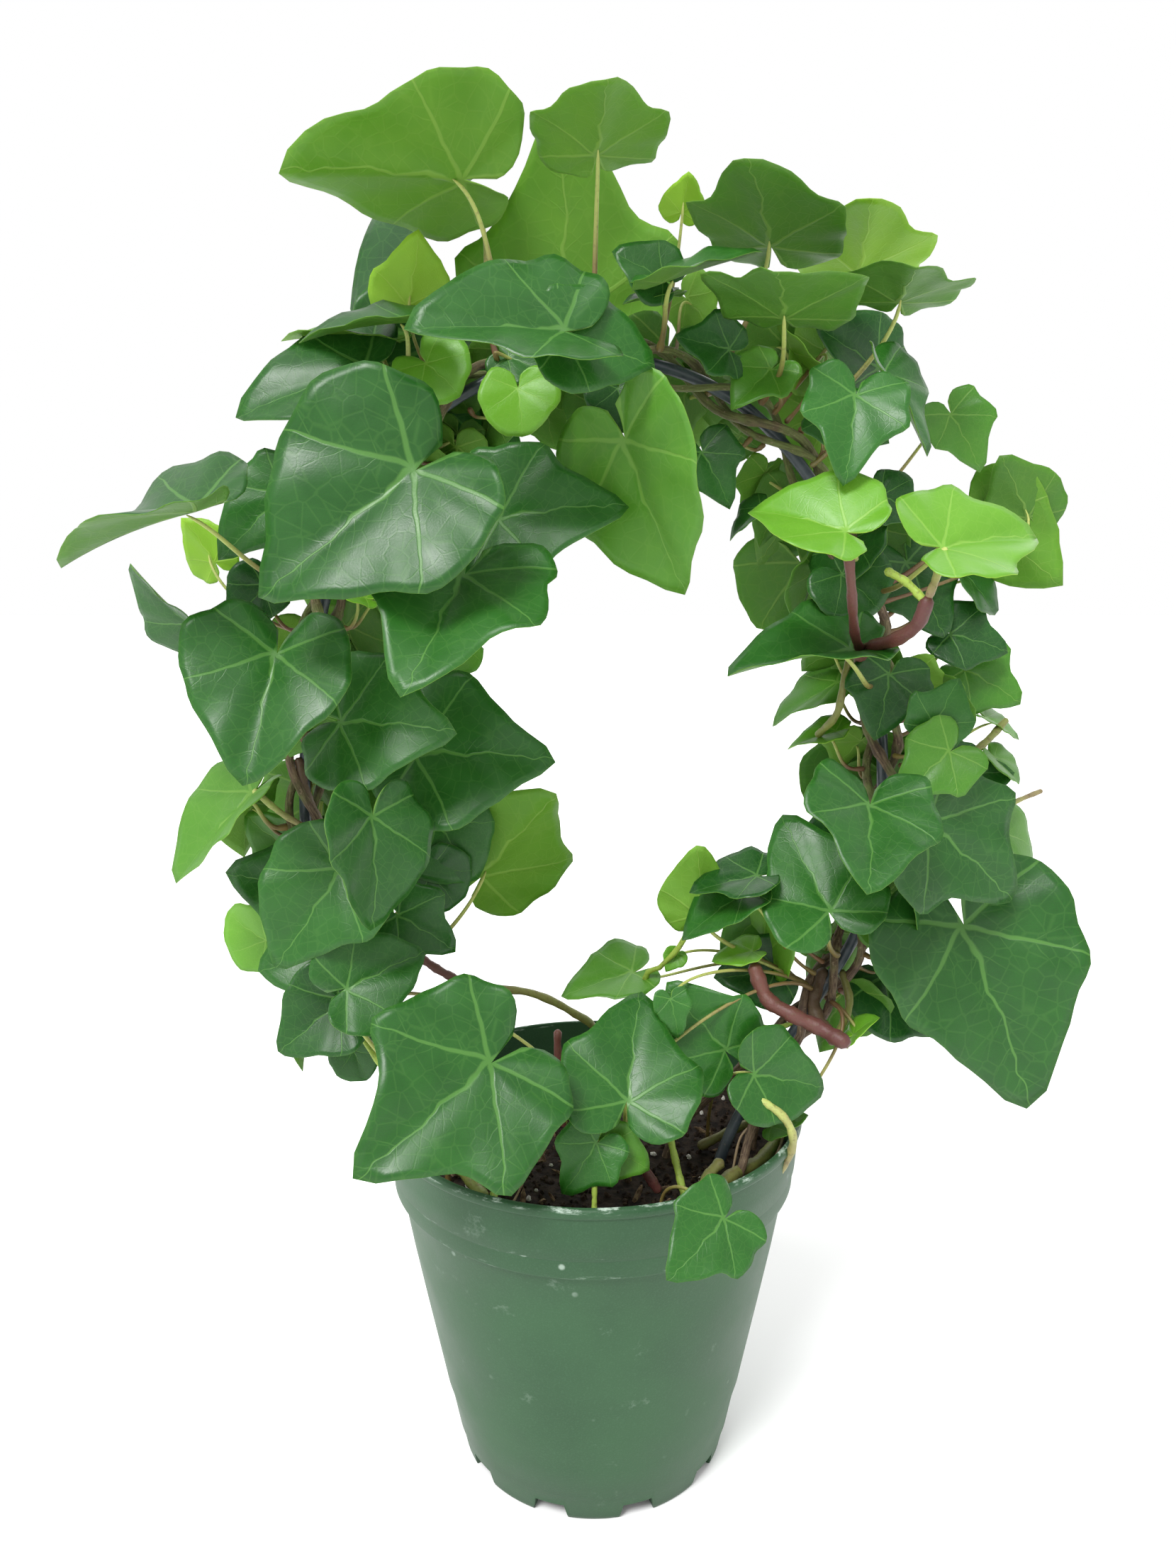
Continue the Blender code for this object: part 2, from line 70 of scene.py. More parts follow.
# ---- finishes ----------------------------------------------------------------------------------
class Web:
    """A material under construction: each call adds a node and returns its first output."""

    def __init__(self, name, roughness=0.5, **sockets):
        self.mat = bpy.data.materials.new(name)
        self.mat.use_nodes = True
        self.tree = self.mat.node_tree
        self.shader = self.tree.nodes["Principled BSDF"]
        self.shader.inputs["Roughness"].default_value = roughness
        for key, value in sockets.items():
            self.shader.inputs[key.replace("_", " ")].default_value = value

    def __call__(self, kind, *values, **props):
        node = self.tree.nodes.new("ShaderNode" + kind)
        named = {k: props.pop(k) for k in list(props) if k[0].isupper()}
        for key, value in props.items():
            setattr(node, key, value)
        for index, value in list(enumerate(values)) + [(k.replace("_", " "), v) for k, v in named.items()]:
            if value is None:
                continue
            if isinstance(value, bpy.types.NodeSocket):
                self.tree.links.new(value, node.inputs[index])
            else:
                node.inputs[index].default_value = value
        self.node = node
        return node.outputs[0]

    def math(self, operation, *values):
        return self("Math", *values, operation=operation)

    def mix(self, share, a, b):
        node = self.tree.nodes.new("ShaderNodeMix")
        node.data_type = 'RGBA'
        for index, value in ((0, share), (6, a), (7, b)):
            if isinstance(value, bpy.types.NodeSocket):
                self.tree.links.new(value, node.inputs[index])
            else:
                node.inputs[index].default_value = (*value, 1.0) if isinstance(value, tuple) else value
        return node.outputs[2]

    def span(self, value, low, high, to_low=0.0, to_high=1.0):
        """value moved smoothly from low..high to to_low..to_high."""
        return self("MapRange", value, low, high, to_low, to_high, interpolation_type='SMOOTHSTEP')

    def speckle(self, place, scale, detail=2.0, rough=0.5):
        return self("TexNoise", place, Scale=scale, Detail=detail, Roughness=rough)

    def finish(self, color=None, roughness=None, height=None, strength=0.3, distance=0.0004):
        if color is not None:
            self.tree.links.new(color, self.shader.inputs["Base Color"])
        if roughness is not None:
            self.tree.links.new(roughness, self.shader.inputs["Roughness"])
        if height is not None:
            bump = self("Bump", strength, distance, Height=height)
            self.tree.links.new(bump, self.shader.inputs["Normal"])
        return self.mat


def here(web):
    web("TexCoord")
    return web.node.outputs["Object"]


def leaf_finish(name, deep, light, vein, vein_share, roughness, relief, glow, sheen):
    """A leaf face: palmate veins fan from the stalk, side veins branch off them."""
    web = Web(name, roughness, Subsurface_Weight=glow, Subsurface_Scale=0.0015,
              Coat_Weight=sheen, Coat_Roughness=0.34, Specular_IOR_Level=0.32)
    web.shader.inputs["Subsurface Radius"].default_value = (0.5, 1.0, 0.15)
    spot = here(web)
    web("UVMap", uv_map="blade")
    flat = web.node.outputs[0]
    web("SeparateXYZ", flat)
    u, v = web.node.outputs[0], web.node.outputs[1]
    drift = web("TexNoise", flat, Scale=7.0, Detail=2.0)
    sway = web.math('MULTIPLY', web.math('SUBTRACT', drift, 0.5), 0.16)
    u = web.math('MULTIPLY_ADD', u, 2.0, -1.0)
    v = web.math('ADD', web.math('MULTIPLY_ADD', v, 2.0, -1.0), sway)
    angle = web.math('ARCTAN2', v, u)
    reach = web.math('SQRT', web.math('ADD', web.math('MULTIPLY', u, u), web.math('MULTIPLY', v, v)))
    own = web.math('SUBTRACT', angle, web.math('SNAP', web.math('ADD', angle, VEIN_FAN / 2), VEIN_FAN))
    along = web.math('MULTIPLY', reach, web.math('COSINE', own))
    off = web.math('ABSOLUTE', web.math('MULTIPLY', reach, web.math('SINE', own)))
    width = web.span(along, 0.0, 0.8, 0.020, 0.006)
    main = web.math('SUBTRACT', 1.0, web.span(web.math('DIVIDE', off, width), 0.35, 1.0))
    lean = web.math('SUBTRACT', along, web.math('MULTIPLY', off, 0.95))
    branch = web.math('PINGPONG', lean, 0.085)
    side = web.math('SUBTRACT', 1.0, web.span(branch, 0.0005, 0.007))
    side = web.math('MULTIPLY', side, web.span(off, 0.0, 0.16, 1.0, 0.10))
    web("TexVoronoi", flat, Scale=22.0, feature='DISTANCE_TO_EDGE')
    net = web.math('SUBTRACT', 1.0, web.span(web.node.outputs[0], 0.0, 0.07))
    # per-leaf value: a random difference plus painted shade, so leaves further back get a darker ground
    # colour
    web("Attribute", attribute_name="tone_and_depth_shade")
    tone_and_depth_shade = web.node.outputs["Fac"]
    cloud = web.speckle(spot, 90.0, 3.0)
    ground = web.mix(web.math('ADD', web.math('MULTIPLY', tone_and_depth_shade, 0.75),
                              web.math('MULTIPLY', web.math('SUBTRACT', cloud, 0.5), 0.55)), deep, light)
    lines = web.math('MAXIMUM', main, web.math('MAXIMUM', web.math('MULTIPLY', side, 0.42),
                                               web.math('MULTIPLY', net, 0.20)))
    color = web.mix(web.math('MULTIPLY', lines, vein_share), ground, vein)
    web("Attribute", attribute_name="margin")
    edge = web.span(web.node.outputs["Fac"], 0.96, 1.0, 0.0, 0.10)
    color = web.mix(edge, color, vein)
    grain = web.speckle(spot, 1500.0, 2.0)
    height = web.math('ADD', web.math('MULTIPLY', lines, relief), web.math('MULTIPLY', grain, 0.25))
    shine = web.span(cloud, 0.25, 0.75, roughness - 0.07, roughness + 0.09)
    return web.finish(color, shine, height, 0.55, 0.00025)


LEAF_FINISHES = {
    "deep": (leaf_finish("ivy_leaf_dark_face", (0.0045, 0.046, 0.005), (0.026, 0.140, 0.012),
                      (0.13, 0.31, 0.06), 0.40, 0.38, -0.6, 0.04, 0.10),
          leaf_finish("ivy_leaf_dark_back", (0.040, 0.135, 0.010), (0.100, 0.240, 0.020),
                      (0.25, 0.40, 0.08), 0.30, 0.55, 1.0, 0.08, 0.0)),
    "pale": (leaf_finish("ivy_leaf_mid_face", (0.038, 0.155, 0.010), (0.105, 0.275, 0.022),
                      (0.24, 0.42, 0.08), 0.30, 0.40, -0.6, 0.05, 0.08),
          leaf_finish("ivy_leaf_mid_back", (0.075, 0.205, 0.012), (0.160, 0.330, 0.028),
                      (0.30, 0.45, 0.09), 0.28, 0.55, 1.0, 0.08, 0.0)),
    "young": (leaf_finish("ivy_leaf_young_face", (0.075, 0.240, 0.010), (0.150, 0.360, 0.026),
                      (0.30, 0.50, 0.09), 0.32, 0.40, -0.5, 0.06, 0.10),
          leaf_finish("ivy_leaf_young_back", (0.150, 0.330, 0.010), (0.270, 0.480, 0.030),
                      (0.38, 0.56, 0.09), 0.25, 0.50, 0.8, 0.10, 0.0))}


def stalk_finish():
    web = Web("ivy_leaf_stalk", 0.5, Subsurface_Weight=0.1, Subsurface_Scale=0.001)
    spot = here(web)
    web("Attribute", attribute_name="along")
    along = web.node.outputs["Fac"]
    # the same per-leaf value, painted shade included, makes the stalks of leaves further back darker and
    # redder
    web("Attribute", attribute_name="tone_and_depth_shade")
    tone_and_depth_shade = web.node.outputs["Fac"]
    root = web.mix(tone_and_depth_shade, (0.13, 0.045, 0.030), (0.19, 0.16, 0.035))
    color = web.mix(web.span(along, 0.15, 0.75), root, (0.36, 0.42, 0.10))
    color = web.mix(web.span(web.speckle(spot, 700.0), 0.5, 0.75, 0.0, 0.35), color, (0.10, 0.06, 0.03))
    return web.finish(color, None, web.speckle(spot, 1800.0), 0.3, 0.0002)


def bark_finish():
    web = Web("ivy_bark", 0.72)
    spot = here(web)
    web("Attribute", attribute_name="along")
    along = web.node.outputs["Fac"]
    web("Attribute", attribute_name="around")
    around = web.node.outputs["Fac"]
    web("CombineXYZ", web.math('MULTIPLY', along, 40.0), web.math('MULTIPLY', around, 6.0), 0.0)
    streak = web("TexNoise", web.node.outputs[0], Scale=2.0, Detail=4.0, Roughness=0.6)
    patch = web.speckle(spot, 120.0, 2.0)
    old = web.mix(web.span(streak, 0.35, 0.68), (0.050, 0.026, 0.014), (0.170, 0.115, 0.065))
    green = web.mix(web.span(streak, 0.3, 0.7), (0.085, 0.095, 0.025), (0.170, 0.210, 0.060))
    share = web.math('ADD', web.math('MULTIPLY', along, 0.55), web.math('SUBTRACT', patch, 0.45))
    color = web.mix(web.span(share, 0.15, 0.6), old, green)
    color = web.mix(web.span(web.speckle(spot, 900.0), 0.62, 0.72, 0.0, 0.5), color, (0.30, 0.22, 0.14))
    height = web.math('ADD', streak, web.math('MULTIPLY', web.speckle(spot, 1400.0), 0.4))
    return web.finish(color, None, height, 0.8, 0.0006)


def pot_finish():
    web = Web("nursery_pot_green", 0.46, Specular_IOR_Level=0.3)
    spot = here(web)
    web("SeparateXYZ", spot)
    z = web.node.outputs[2]
    cloud = web.speckle(spot, 22.0, 4.0, 0.6)
    grain = web.speckle(spot, 1600.0, 2.0)
    color = web.mix(web.span(cloud, 0.3, 0.7), (0.021, 0.068, 0.027), (0.032, 0.090, 0.038))
    color = web.mix(web.span(grain, 0.45, 0.8, 0.0, 0.25), color, (0.060, 0.135, 0.070))
    web("Mapping", spot, Scale=(1.0, 1.0, 5.0))
    scratch = web("TexNoise", web.node.outputs[0], Scale=120.0, Detail=5.0, Roughness=0.7)
    rub = web.math('MULTIPLY', web.span(scratch, 0.50, 0.66), web.span(z, POT_H - 0.0022, POT_H - 0.0002))
    line = web.math('SUBTRACT', 1.0, web.span(web.math('ABSOLUTE', web.math('SUBTRACT', z, BAND_Z + 0.0073)),
                                              0.0003, 0.0012))
    rub = web.math('MAXIMUM', rub, web.math('MULTIPLY', line, web.span(scratch, 0.60, 0.72, 0.0, 0.7)))
    lower = web.math('SUBTRACT', 1.0, web.span(web.math('ABSOLUTE', web.math('SUBTRACT', z, BAND_Z + 0.0004)),
                                               0.0004, 0.0016))
    rub = web.math('MAXIMUM', rub, web.math('MULTIPLY', lower, web.span(scratch, 0.55, 0.75, 0.0, 0.45)))
    smear = web.math('MULTIPLY', web.span(web.speckle(spot, 60.0, 6.0, 0.7), 0.62, 0.74), 0.22)
    web("TexVoronoi", spot, Scale=95.0)
    dots = web.math('SUBTRACT', 1.0, web.span(web.node.outputs["Distance"], 0.05, 0.13))
    dots = web.math('MULTIPLY', dots, web.span(web.speckle(spot, 35.0, 2.0), 0.58, 0.70, 0.0, 0.6))
    wear = web.math('MAXIMUM', rub, web.math('MAXIMUM', smear, dots))
    color = web.mix(wear, color, (0.42, 0.52, 0.44))
    # painted shade: the lowest 6 mm of the pot, next to the floor, is mixed towards a darker green
    foot = web.span(z, 0.0, 0.006, 0.35, 0.0)
    color = web.mix(foot, color, (0.022, 0.048, 0.028))
    return web.finish(color, web.span(cloud, 0.3, 0.7, 0.40, 0.54), grain, 0.25, 0.00015)


def wire_finish():
    web = Web("slate_wire_coating", 0.36, Specular_IOR_Level=0.5)
    spot = here(web)
    cloud = web.speckle(spot, 180.0, 3.0)
    color = web.mix(web.span(cloud, 0.35, 0.7), (0.030, 0.042, 0.052), (0.060, 0.076, 0.090))
    color = web.mix(web.span(web.speckle(spot, 620.0), 0.66, 0.75, 0.0, 0.5), color, (0.16, 0.13, 0.10))
    return web.finish(color, web.span(cloud, 0.3, 0.7, 0.30, 0.48), web.speckle(spot, 1200.0), 0.25, 0.0002)


def soil_finish(name, dark, light, scale, roughness=0.95):
    web = Web(name, roughness, Specular_IOR_Level=0.2)
    spot = here(web)
    lump = web.speckle(spot, scale, 5.0, 0.65)
    color = web.mix(web.span(lump, 0.35, 0.68), dark, light)
    return web.finish(color, None, lump, 0.9, 0.0012)


def shoot_finish(name, low, high):
    web = Web(name, 0.52, Subsurface_Weight=0.06, Subsurface_Scale=0.001)
    spot = here(web)
    web("Attribute", attribute_name="along")
    along = web.node.outputs["Fac"]
    share = web.math('ADD', along, web.math('SUBTRACT', web.speckle(spot, 160.0), 0.5))
    color = web.mix(share, low, high)
    color = web.mix(web.span(web.speckle(spot, 800.0), 0.52, 0.72, 0.0, 0.45), color, (0.09, 0.055, 0.025))
    return web.finish(color, None, web.speckle(spot, 1500.0), 0.45, 0.0003)


STALK = stalk_finish()
SHOOTS = {"olive": shoot_finish("shoot_olive", (0.135, 0.125, 0.030), (0.200, 0.235, 0.050)),
          "lime": shoot_finish("shoot_lime", (0.230, 0.330, 0.035), (0.300, 0.420, 0.060)),
          "cream": shoot_finish("shoot_cream", (0.430, 0.500, 0.130), (0.230, 0.170, 0.085)),
          "red": shoot_finish("shoot_red", (0.120, 0.040, 0.026), (0.090, 0.026, 0.022)),
          "bark": shoot_finish("shoot_bark", (0.075, 0.042, 0.022), (0.120, 0.080, 0.045)),
          "root": shoot_finish("fine_root", (0.330, 0.240, 0.140), (0.220, 0.150, 0.085))}
BARK = bark_finish()
POT_GREEN = pot_finish()
WIRE_COAT = wire_finish()
SOIL_MIX = soil_finish("moist_potting_mix", (0.006, 0.004, 0.003), (0.034, 0.023, 0.016), 260.0)
CRUMB = soil_finish("peat_crumb", (0.010, 0.006, 0.004), (0.055, 0.034, 0.022), 420.0)
PERLITE = soil_finish("perlite_grain", (0.50, 0.47, 0.42), (0.86, 0.84, 0.80), 900.0, 0.8)
CHIP = soil_finish("bark_chip", (0.10, 0.06, 0.035), (0.30, 0.21, 0.13), 700.0)


# ---- helpers -----------------------------------------------------------------------------------
def unit(v):
    return v / np.linalg.norm(v)


def add_mesh(name, verts, faces, materials, slots=None, uv=None, attributes=None):
    mesh = bpy.data.meshes.new(name)
    mesh.from_pydata([tuple(v) for v in verts], [], faces)
    for mat in materials:
        mesh.materials.append(mat)
    if slots is not None:
        mesh.polygons.foreach_set("material_index", slots)
    if uv is not None:
        layer = mesh.uv_layers.new(name="blade")
        corner = np.zeros(len(mesh.loops), dtype=np.int32)
        mesh.loops.foreach_get("vertex_index", corner)
        layer.data.foreach_set("uv", np.asarray(uv, dtype=np.float32)[corner].ravel())
    for key, values in (attributes or {}).items():
        layer = mesh.attributes.new(key, 'FLOAT', 'POINT')
        layer.data.foreach_set("value", np.asarray(values, dtype=np.float32))
    mesh.polygons.foreach_set("use_smooth", [True] * len(mesh.polygons))
    mesh.update()
    obj = bpy.data.objects.new(name, mesh)
    bpy.context.scene.collection.objects.link(obj)
    return obj


def belongs(obj, slot, *nodes):
    """Ties a finished piece to the part's one body and hides the solids that it stands for; slot is not used.
    """
    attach(obj, "root")
    if nodes:
        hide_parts(*nodes)
    return obj


def settle(obj):
    """Applies the modifiers and leaves a plain mesh at the origin."""
    bpy.context.view_layer.update()
    graph = bpy.context.evaluated_depsgraph_get()
    mesh = bpy.data.meshes.new_from_object(obj.evaluated_get(graph), preserve_all_data_layers=True,
                                           depsgraph=graph)
    obj.modifiers.clear()
    obj.data = mesh
    return obj


def sweep(points, radii, sides=10):
    """Vertices, faces and (along, around) of a round bar with domed ends."""
    points = np.asarray(points, dtype=float)
    radii = np.asarray(radii, dtype=float)
    t = np.gradient(points, axis=0)
    t /= np.linalg.norm(t, axis=1)[:, None]
    a = np.cross(t[0], (0.31, 0.47, 0.83))
    a = unit(a)
    stations = [(points[0] - t[0] * radii[0] * 0.6, radii[0] * 0.5, t[0], a, 0.0)]
    total = len(points) - 1
    for k, p in enumerate(points):
        a = unit(a - a.dot(t[k]) * t[k])
        stations.append((p, radii[k], t[k], a, k / total))
    stations.append((points[-1] + t[-1] * radii[-1] * 0.6, radii[-1] * 0.5, t[-1], a, 1.0))
    verts, along, around = [], [], []
    for p, r, d, a, s in stations:
        b = np.cross(d, a)
        for k in range(sides):
            w = 2 * math.pi * k / sides
            verts.append(p + r * (math.cos(w) * a + math.sin(w) * b))
            along.append(s)
            around.append(abs(2 * k / sides - 1))
    faces = []
    for k in range(len(stations) - 1):
        for s in range(sides):
            i, j = k * sides + s, k * sides + (s + 1) % sides
            faces.append((i, j, j + sides, i + sides))
    faces.append(tuple(range(sides - 1, -1, -1)))
    last = (len(stations) - 1) * sides
    faces.append(tuple(range(last, last + sides)))
    return verts, faces, along, around


def smooth_route(points, count):
    """Evenly spaced points on a Catmull-Rom curve through the given ones, and its length."""
    p = [2 * points[0] - points[1]] + list(points) + [2 * points[-1] - points[-2]]
    dense = []
    for i in range(1, len(p) - 2):
        for k in range(24):
            t = k / 24
            dense.append(0.5 * (2 * p[i] + (p[i + 1] - p[i - 1]) * t
                                + (2 * p[i - 1] - 5 * p[i] + 4 * p[i + 1] - p[i + 2]) * t ** 2
                                + (3 * p[i] - p[i - 1] - 3 * p[i + 1] + p[i + 2]) * t ** 3))
    dense.append(p[-2])
    dense = np.array(dense)
    length = np.concatenate([[0], np.cumsum(np.linalg.norm(np.diff(dense, axis=0), axis=1))])
    at = np.linspace(0, length[-1], count)
    return np.stack([np.interp(at, length, dense[:, k]) for k in range(3)], axis=1), length[-1]


# ---- camera, floor and light ---------------------------------------------------------------------
camera = bpy.data.objects.new("camera", bpy.data.cameras.new("camera"))
bpy.context.scene.collection.objects.link(camera)
camera.data.lens = 27.03
camera.data.clip_start = 0.01
camera.location = (-0.002, -0.405, 0.333)
camera.rotation_euler = (math.radians(90 - 11.1), 0, 0)
bpy.context.scene.camera = camera

floor_web = Web("pale_floor", 0.9)
floor_web.shader.inputs["Base Color"].default_value = (0.93, 0.93, 0.93, 1)
floor = add_mesh("floor", [(-6, -6, 0), (6, -6, 0), (6, 6, 0), (-6, 6, 0)], [(0, 1, 2, 3)], [floor_web.mat])

world = bpy.data.worlds.new("studio")
world.use_nodes = True
world.node_tree.nodes["Background"].inputs[0].default_value = (1, 1, 1, 1)
world.node_tree.nodes["Background"].inputs[1].default_value = 1.0
bpy.context.scene.world = world
bpy.context.scene.view_settings.view_transform = 'Standard'


def sun(name, strength, spread, turn, tilt):
    lamp = bpy.data.lights.new(name, 'SUN')
    lamp.energy, lamp.angle = strength, math.radians(spread)
    obj = bpy.data.objects.new(name, lamp)
    obj.rotation_euler = (math.radians(tilt), 0, math.radians(turn))
    bpy.context.scene.collection.objects.link(obj)


sun("key", 3.0, 22, -30, 38)
sun("back", 0.8, 60, 150, 50)

# ---- pot -----------------------------------------------------------------------------------------
WALL = 0.0013
KNEE_Z, KNEE_R, WALL_R = 0.030, BASE_R + 0.0072, RIM_R - 0.0056
outside = [
    (RIM_R - 0.0017, POT_H), (RIM_R - 0.0008, POT_H - 0.0002), (RIM_R - 0.0002, POT_H - 0.0008),
    (RIM_R, POT_H - 0.0016), (RIM_R, POT_H - 0.0028), (RIM_R - 0.0004, POT_H - 0.0035),
    (RIM_R - 0.0010, POT_H - 0.0040), (RIM_R - 0.0015, POT_H - 0.0110), (RIM_R - 0.0021, POT_H - 0.0184),
    (RIM_R - 0.0026, POT_H - 0.0190), (RIM_R - 0.0027, POT_H - 0.0196), (RIM_R - 0.0030, BAND_Z + 0.0009),
    (RIM_R - 0.0033, BAND_Z + 0.0002), (RIM_R - 0.0038, BAND_Z), (WALL_R + 0.0004, BAND_Z - 0.0003),
    (WALL_R, BAND_Z - 0.0012), (WALL_R - 0.0035, BAND_Z - 0.022), (WALL_R - 0.0078, BAND_Z - 0.045),
    (KNEE_R + 0.0016, KNEE_Z + 0.009), (KNEE_R - 0.0001, KNEE_Z), (KNEE_R - 0.0018, KNEE_Z - 0.006),
    (BASE_R + 0.0029, 0.0108), (BASE_R + 0.0024, 0.0102), (BASE_R + 0.0006, 0.0016),
    (BASE_R + 0.0001, 0.0004), (BASE_R - 0.0006, 0.0), (BASE_R - 0.006, 0.0), (0.0, 0.0)]
inside = [
    (0.0, 0.0016), (BASE_R - WALL - 0.002, 0.0016), (BASE_R - WALL, 0.0026), (KNEE_R - WALL, KNEE_Z),
    (WALL_R - WALL, BAND_Z - 0.0030), (RIM_R - 0.0036 - WALL, BAND_Z + 0.0002),
    (RIM_R - 0.0010 - WALL, POT_H - 0.0016), (RIM_R - 0.0021, POT_H - 0.0003)]
profile = bpy.data.meshes.new("pot_profile")
rows = inside + outside
profile.from_pydata([(r, 0.0, z) for r, z in rows], [(i, i + 1) for i in range(len(rows) - 1)], [])
profile.materials.append(POT_GREEN)
pot = bpy.data.objects.new("nursery_pot", profile)
bpy.context.scene.collection.objects.link(pot)
turn = pot.modifiers.new("turn", 'SCREW')
turn.steps = turn.render_steps = 160
turn.use_merge_vertices = True
turn.merge_threshold = 1e-5
turn.use_smooth_shade = True
cutters = bmesh.new()
for k in range(10):
    angle = 2 * math.pi * (k + 0.5) / 10 - math.pi / 2
    box = bmesh.ops.create_cube(cutters, size=1.0)["verts"]
    bmesh.ops.scale(cutters, verts=box, vec=(0.014, 0.013, 0.0120))
    for v in box:
        lean = 0.0012 * (1 if v.co.z < 0 else -1) * (1 if v.co.y > 0 else -1)
        x, y = v.co.x + BASE_R + 0.0005, v.co.y + lean
        v.co.x, v.co.y = (x * math.cos(angle) - y * math.sin(angle),
                          x * math.sin(angle) + y * math.cos(angle))
cut_mesh = bpy.data.meshes.new("foot_slots")
cutters.to_mesh(cut_mesh)
cutters.free()
cut = bpy.data.objects.new("foot_slots", cut_mesh)
bpy.context.scene.collection.objects.link(cut)
slots = pot.modifiers.new("slots", 'BOOLEAN')
slots.object, slots.operation, slots.solver = cut, 'DIFFERENCE', 'EXACT'
settle(pot)
bpy.data.objects.remove(cut, do_unlink=True)
for v in pot.data.vertices:      # thin plastic is never quite round
    around = math.atan2(v.co.y, v.co.x)
    give = (0.0006 * math.sin(2 * around + 0.7) * (v.co.z / POT_H)
            + 0.0003 * math.sin(3 * around) * (v.co.z / POT_H))
    out = math.hypot(v.co.x, v.co.y)
    if out > 0.02:
        v.co.x += v.co.x / out * give
        v.co.y += v.co.y / out * give
pot.data.set_sharp_from_angle(angle=math.radians(38))
belongs(pot, "pot", "pot")

# ---- hoop and vines ------------------------------------------------------------------------------
HALF_HOOP = [(0, 396), (20, 393.5), (38, 387), (55, 376), (73, 356), (88, 328), (97, 294), (101, 258),
             (101, 226), (95, 201), (84, 182), (71, 163), (54, 139), (44, 117), (40, 90), (39, 58)]


def foot_y(z):
    return -19 * (1 - min(1, max(0, (z - 117) / 90))) ** 1.3


right_half = [np.array([x, foot_y(z), z]) * MM for x, z in HALF_HOOP]
left_half = [p * (-1, 1, 1) for p in reversed(right_half[1:])]
hoop_route, HOOP_LENGTH = smooth_route(left_half + right_half, HOOP_POINTS)
step = HOOP_LENGTH / (HOOP_POINTS - 1)
tangents = np.gradient(hoop_route, axis=0)
tangents /= np.linalg.norm(tangents, axis=1)[:, None]
across = np.cross(tangents, (0, 1, 0))
across /= np.linalg.norm(across, axis=1)[:, None]
forward = np.cross(across, tangents)
above_soil = [i for i in range(HOOP_POINTS) if hoop_route[i][2] > SOIL_Z]
FIRST, LAST = above_soil[0], above_soil[-1]


def hoop_frame(i):
    """The hoop's centre, outward and forward directions at a station, which may lie between two."""
    return [np.array([np.interp(i, range(HOOP_POINTS), rows[:, k]) for k in range(3)])
            for rows in (hoop_route, across, forward)]


def twist_point(i, phase, radius, wound):
    at, a, f = hoop_frame(i)
    turn = phase + 2 * math.pi * wound * step / TWIST_PITCH
    return at + radius * (math.cos(turn) * a + math.sin(turn) * f)


fine_hoop, _ = smooth_route(left_half + right_half, 260)
verts, faces, _, _ = sweep(fine_hoop, [WIRE_R] * len(fine_hoop), 16)
hoop = add_mesh("wire_hoop", verts, faces, [WIRE_COAT])
belongs(hoop, "wire", "hoop")

VINES = [("vine_left_1", "left", 0, 0.66), ("vine_left_2", "left", 120, 0.50),
         ("vine_left_3", "left", 240, 0.36), ("vine_right_1", "right", 60, 0.34),
         ("vine_right_2", "right", 180, 0.52), ("vine_right_3", "right", 300, 0.64)]
FLARE = 0.013
FLARE_LENGTH = 0.050


def vine_route(side, phase, reach):
    foot = FIRST if side == "left" else LAST
    end = FIRST + reach * (LAST - FIRST)
    sign = 1 if side == "left" else -1
    start = foot - sign * 0.011 / step
    count = max(12, int(abs(end - start) * step / 0.004))
    route = []
    for i in np.linspace(start, end, count):
        gone = (i - foot) * sign * step
        low = min(1.0, max(0.0, 1 - gone / FLARE_LENGTH))
        wound = i if low == 0.0 else foot + sign * FLARE_LENGTH / step
        route.append(twist_point(i, math.radians(phase), TWIST_R + FLARE * low ** 2, wound))
    return route


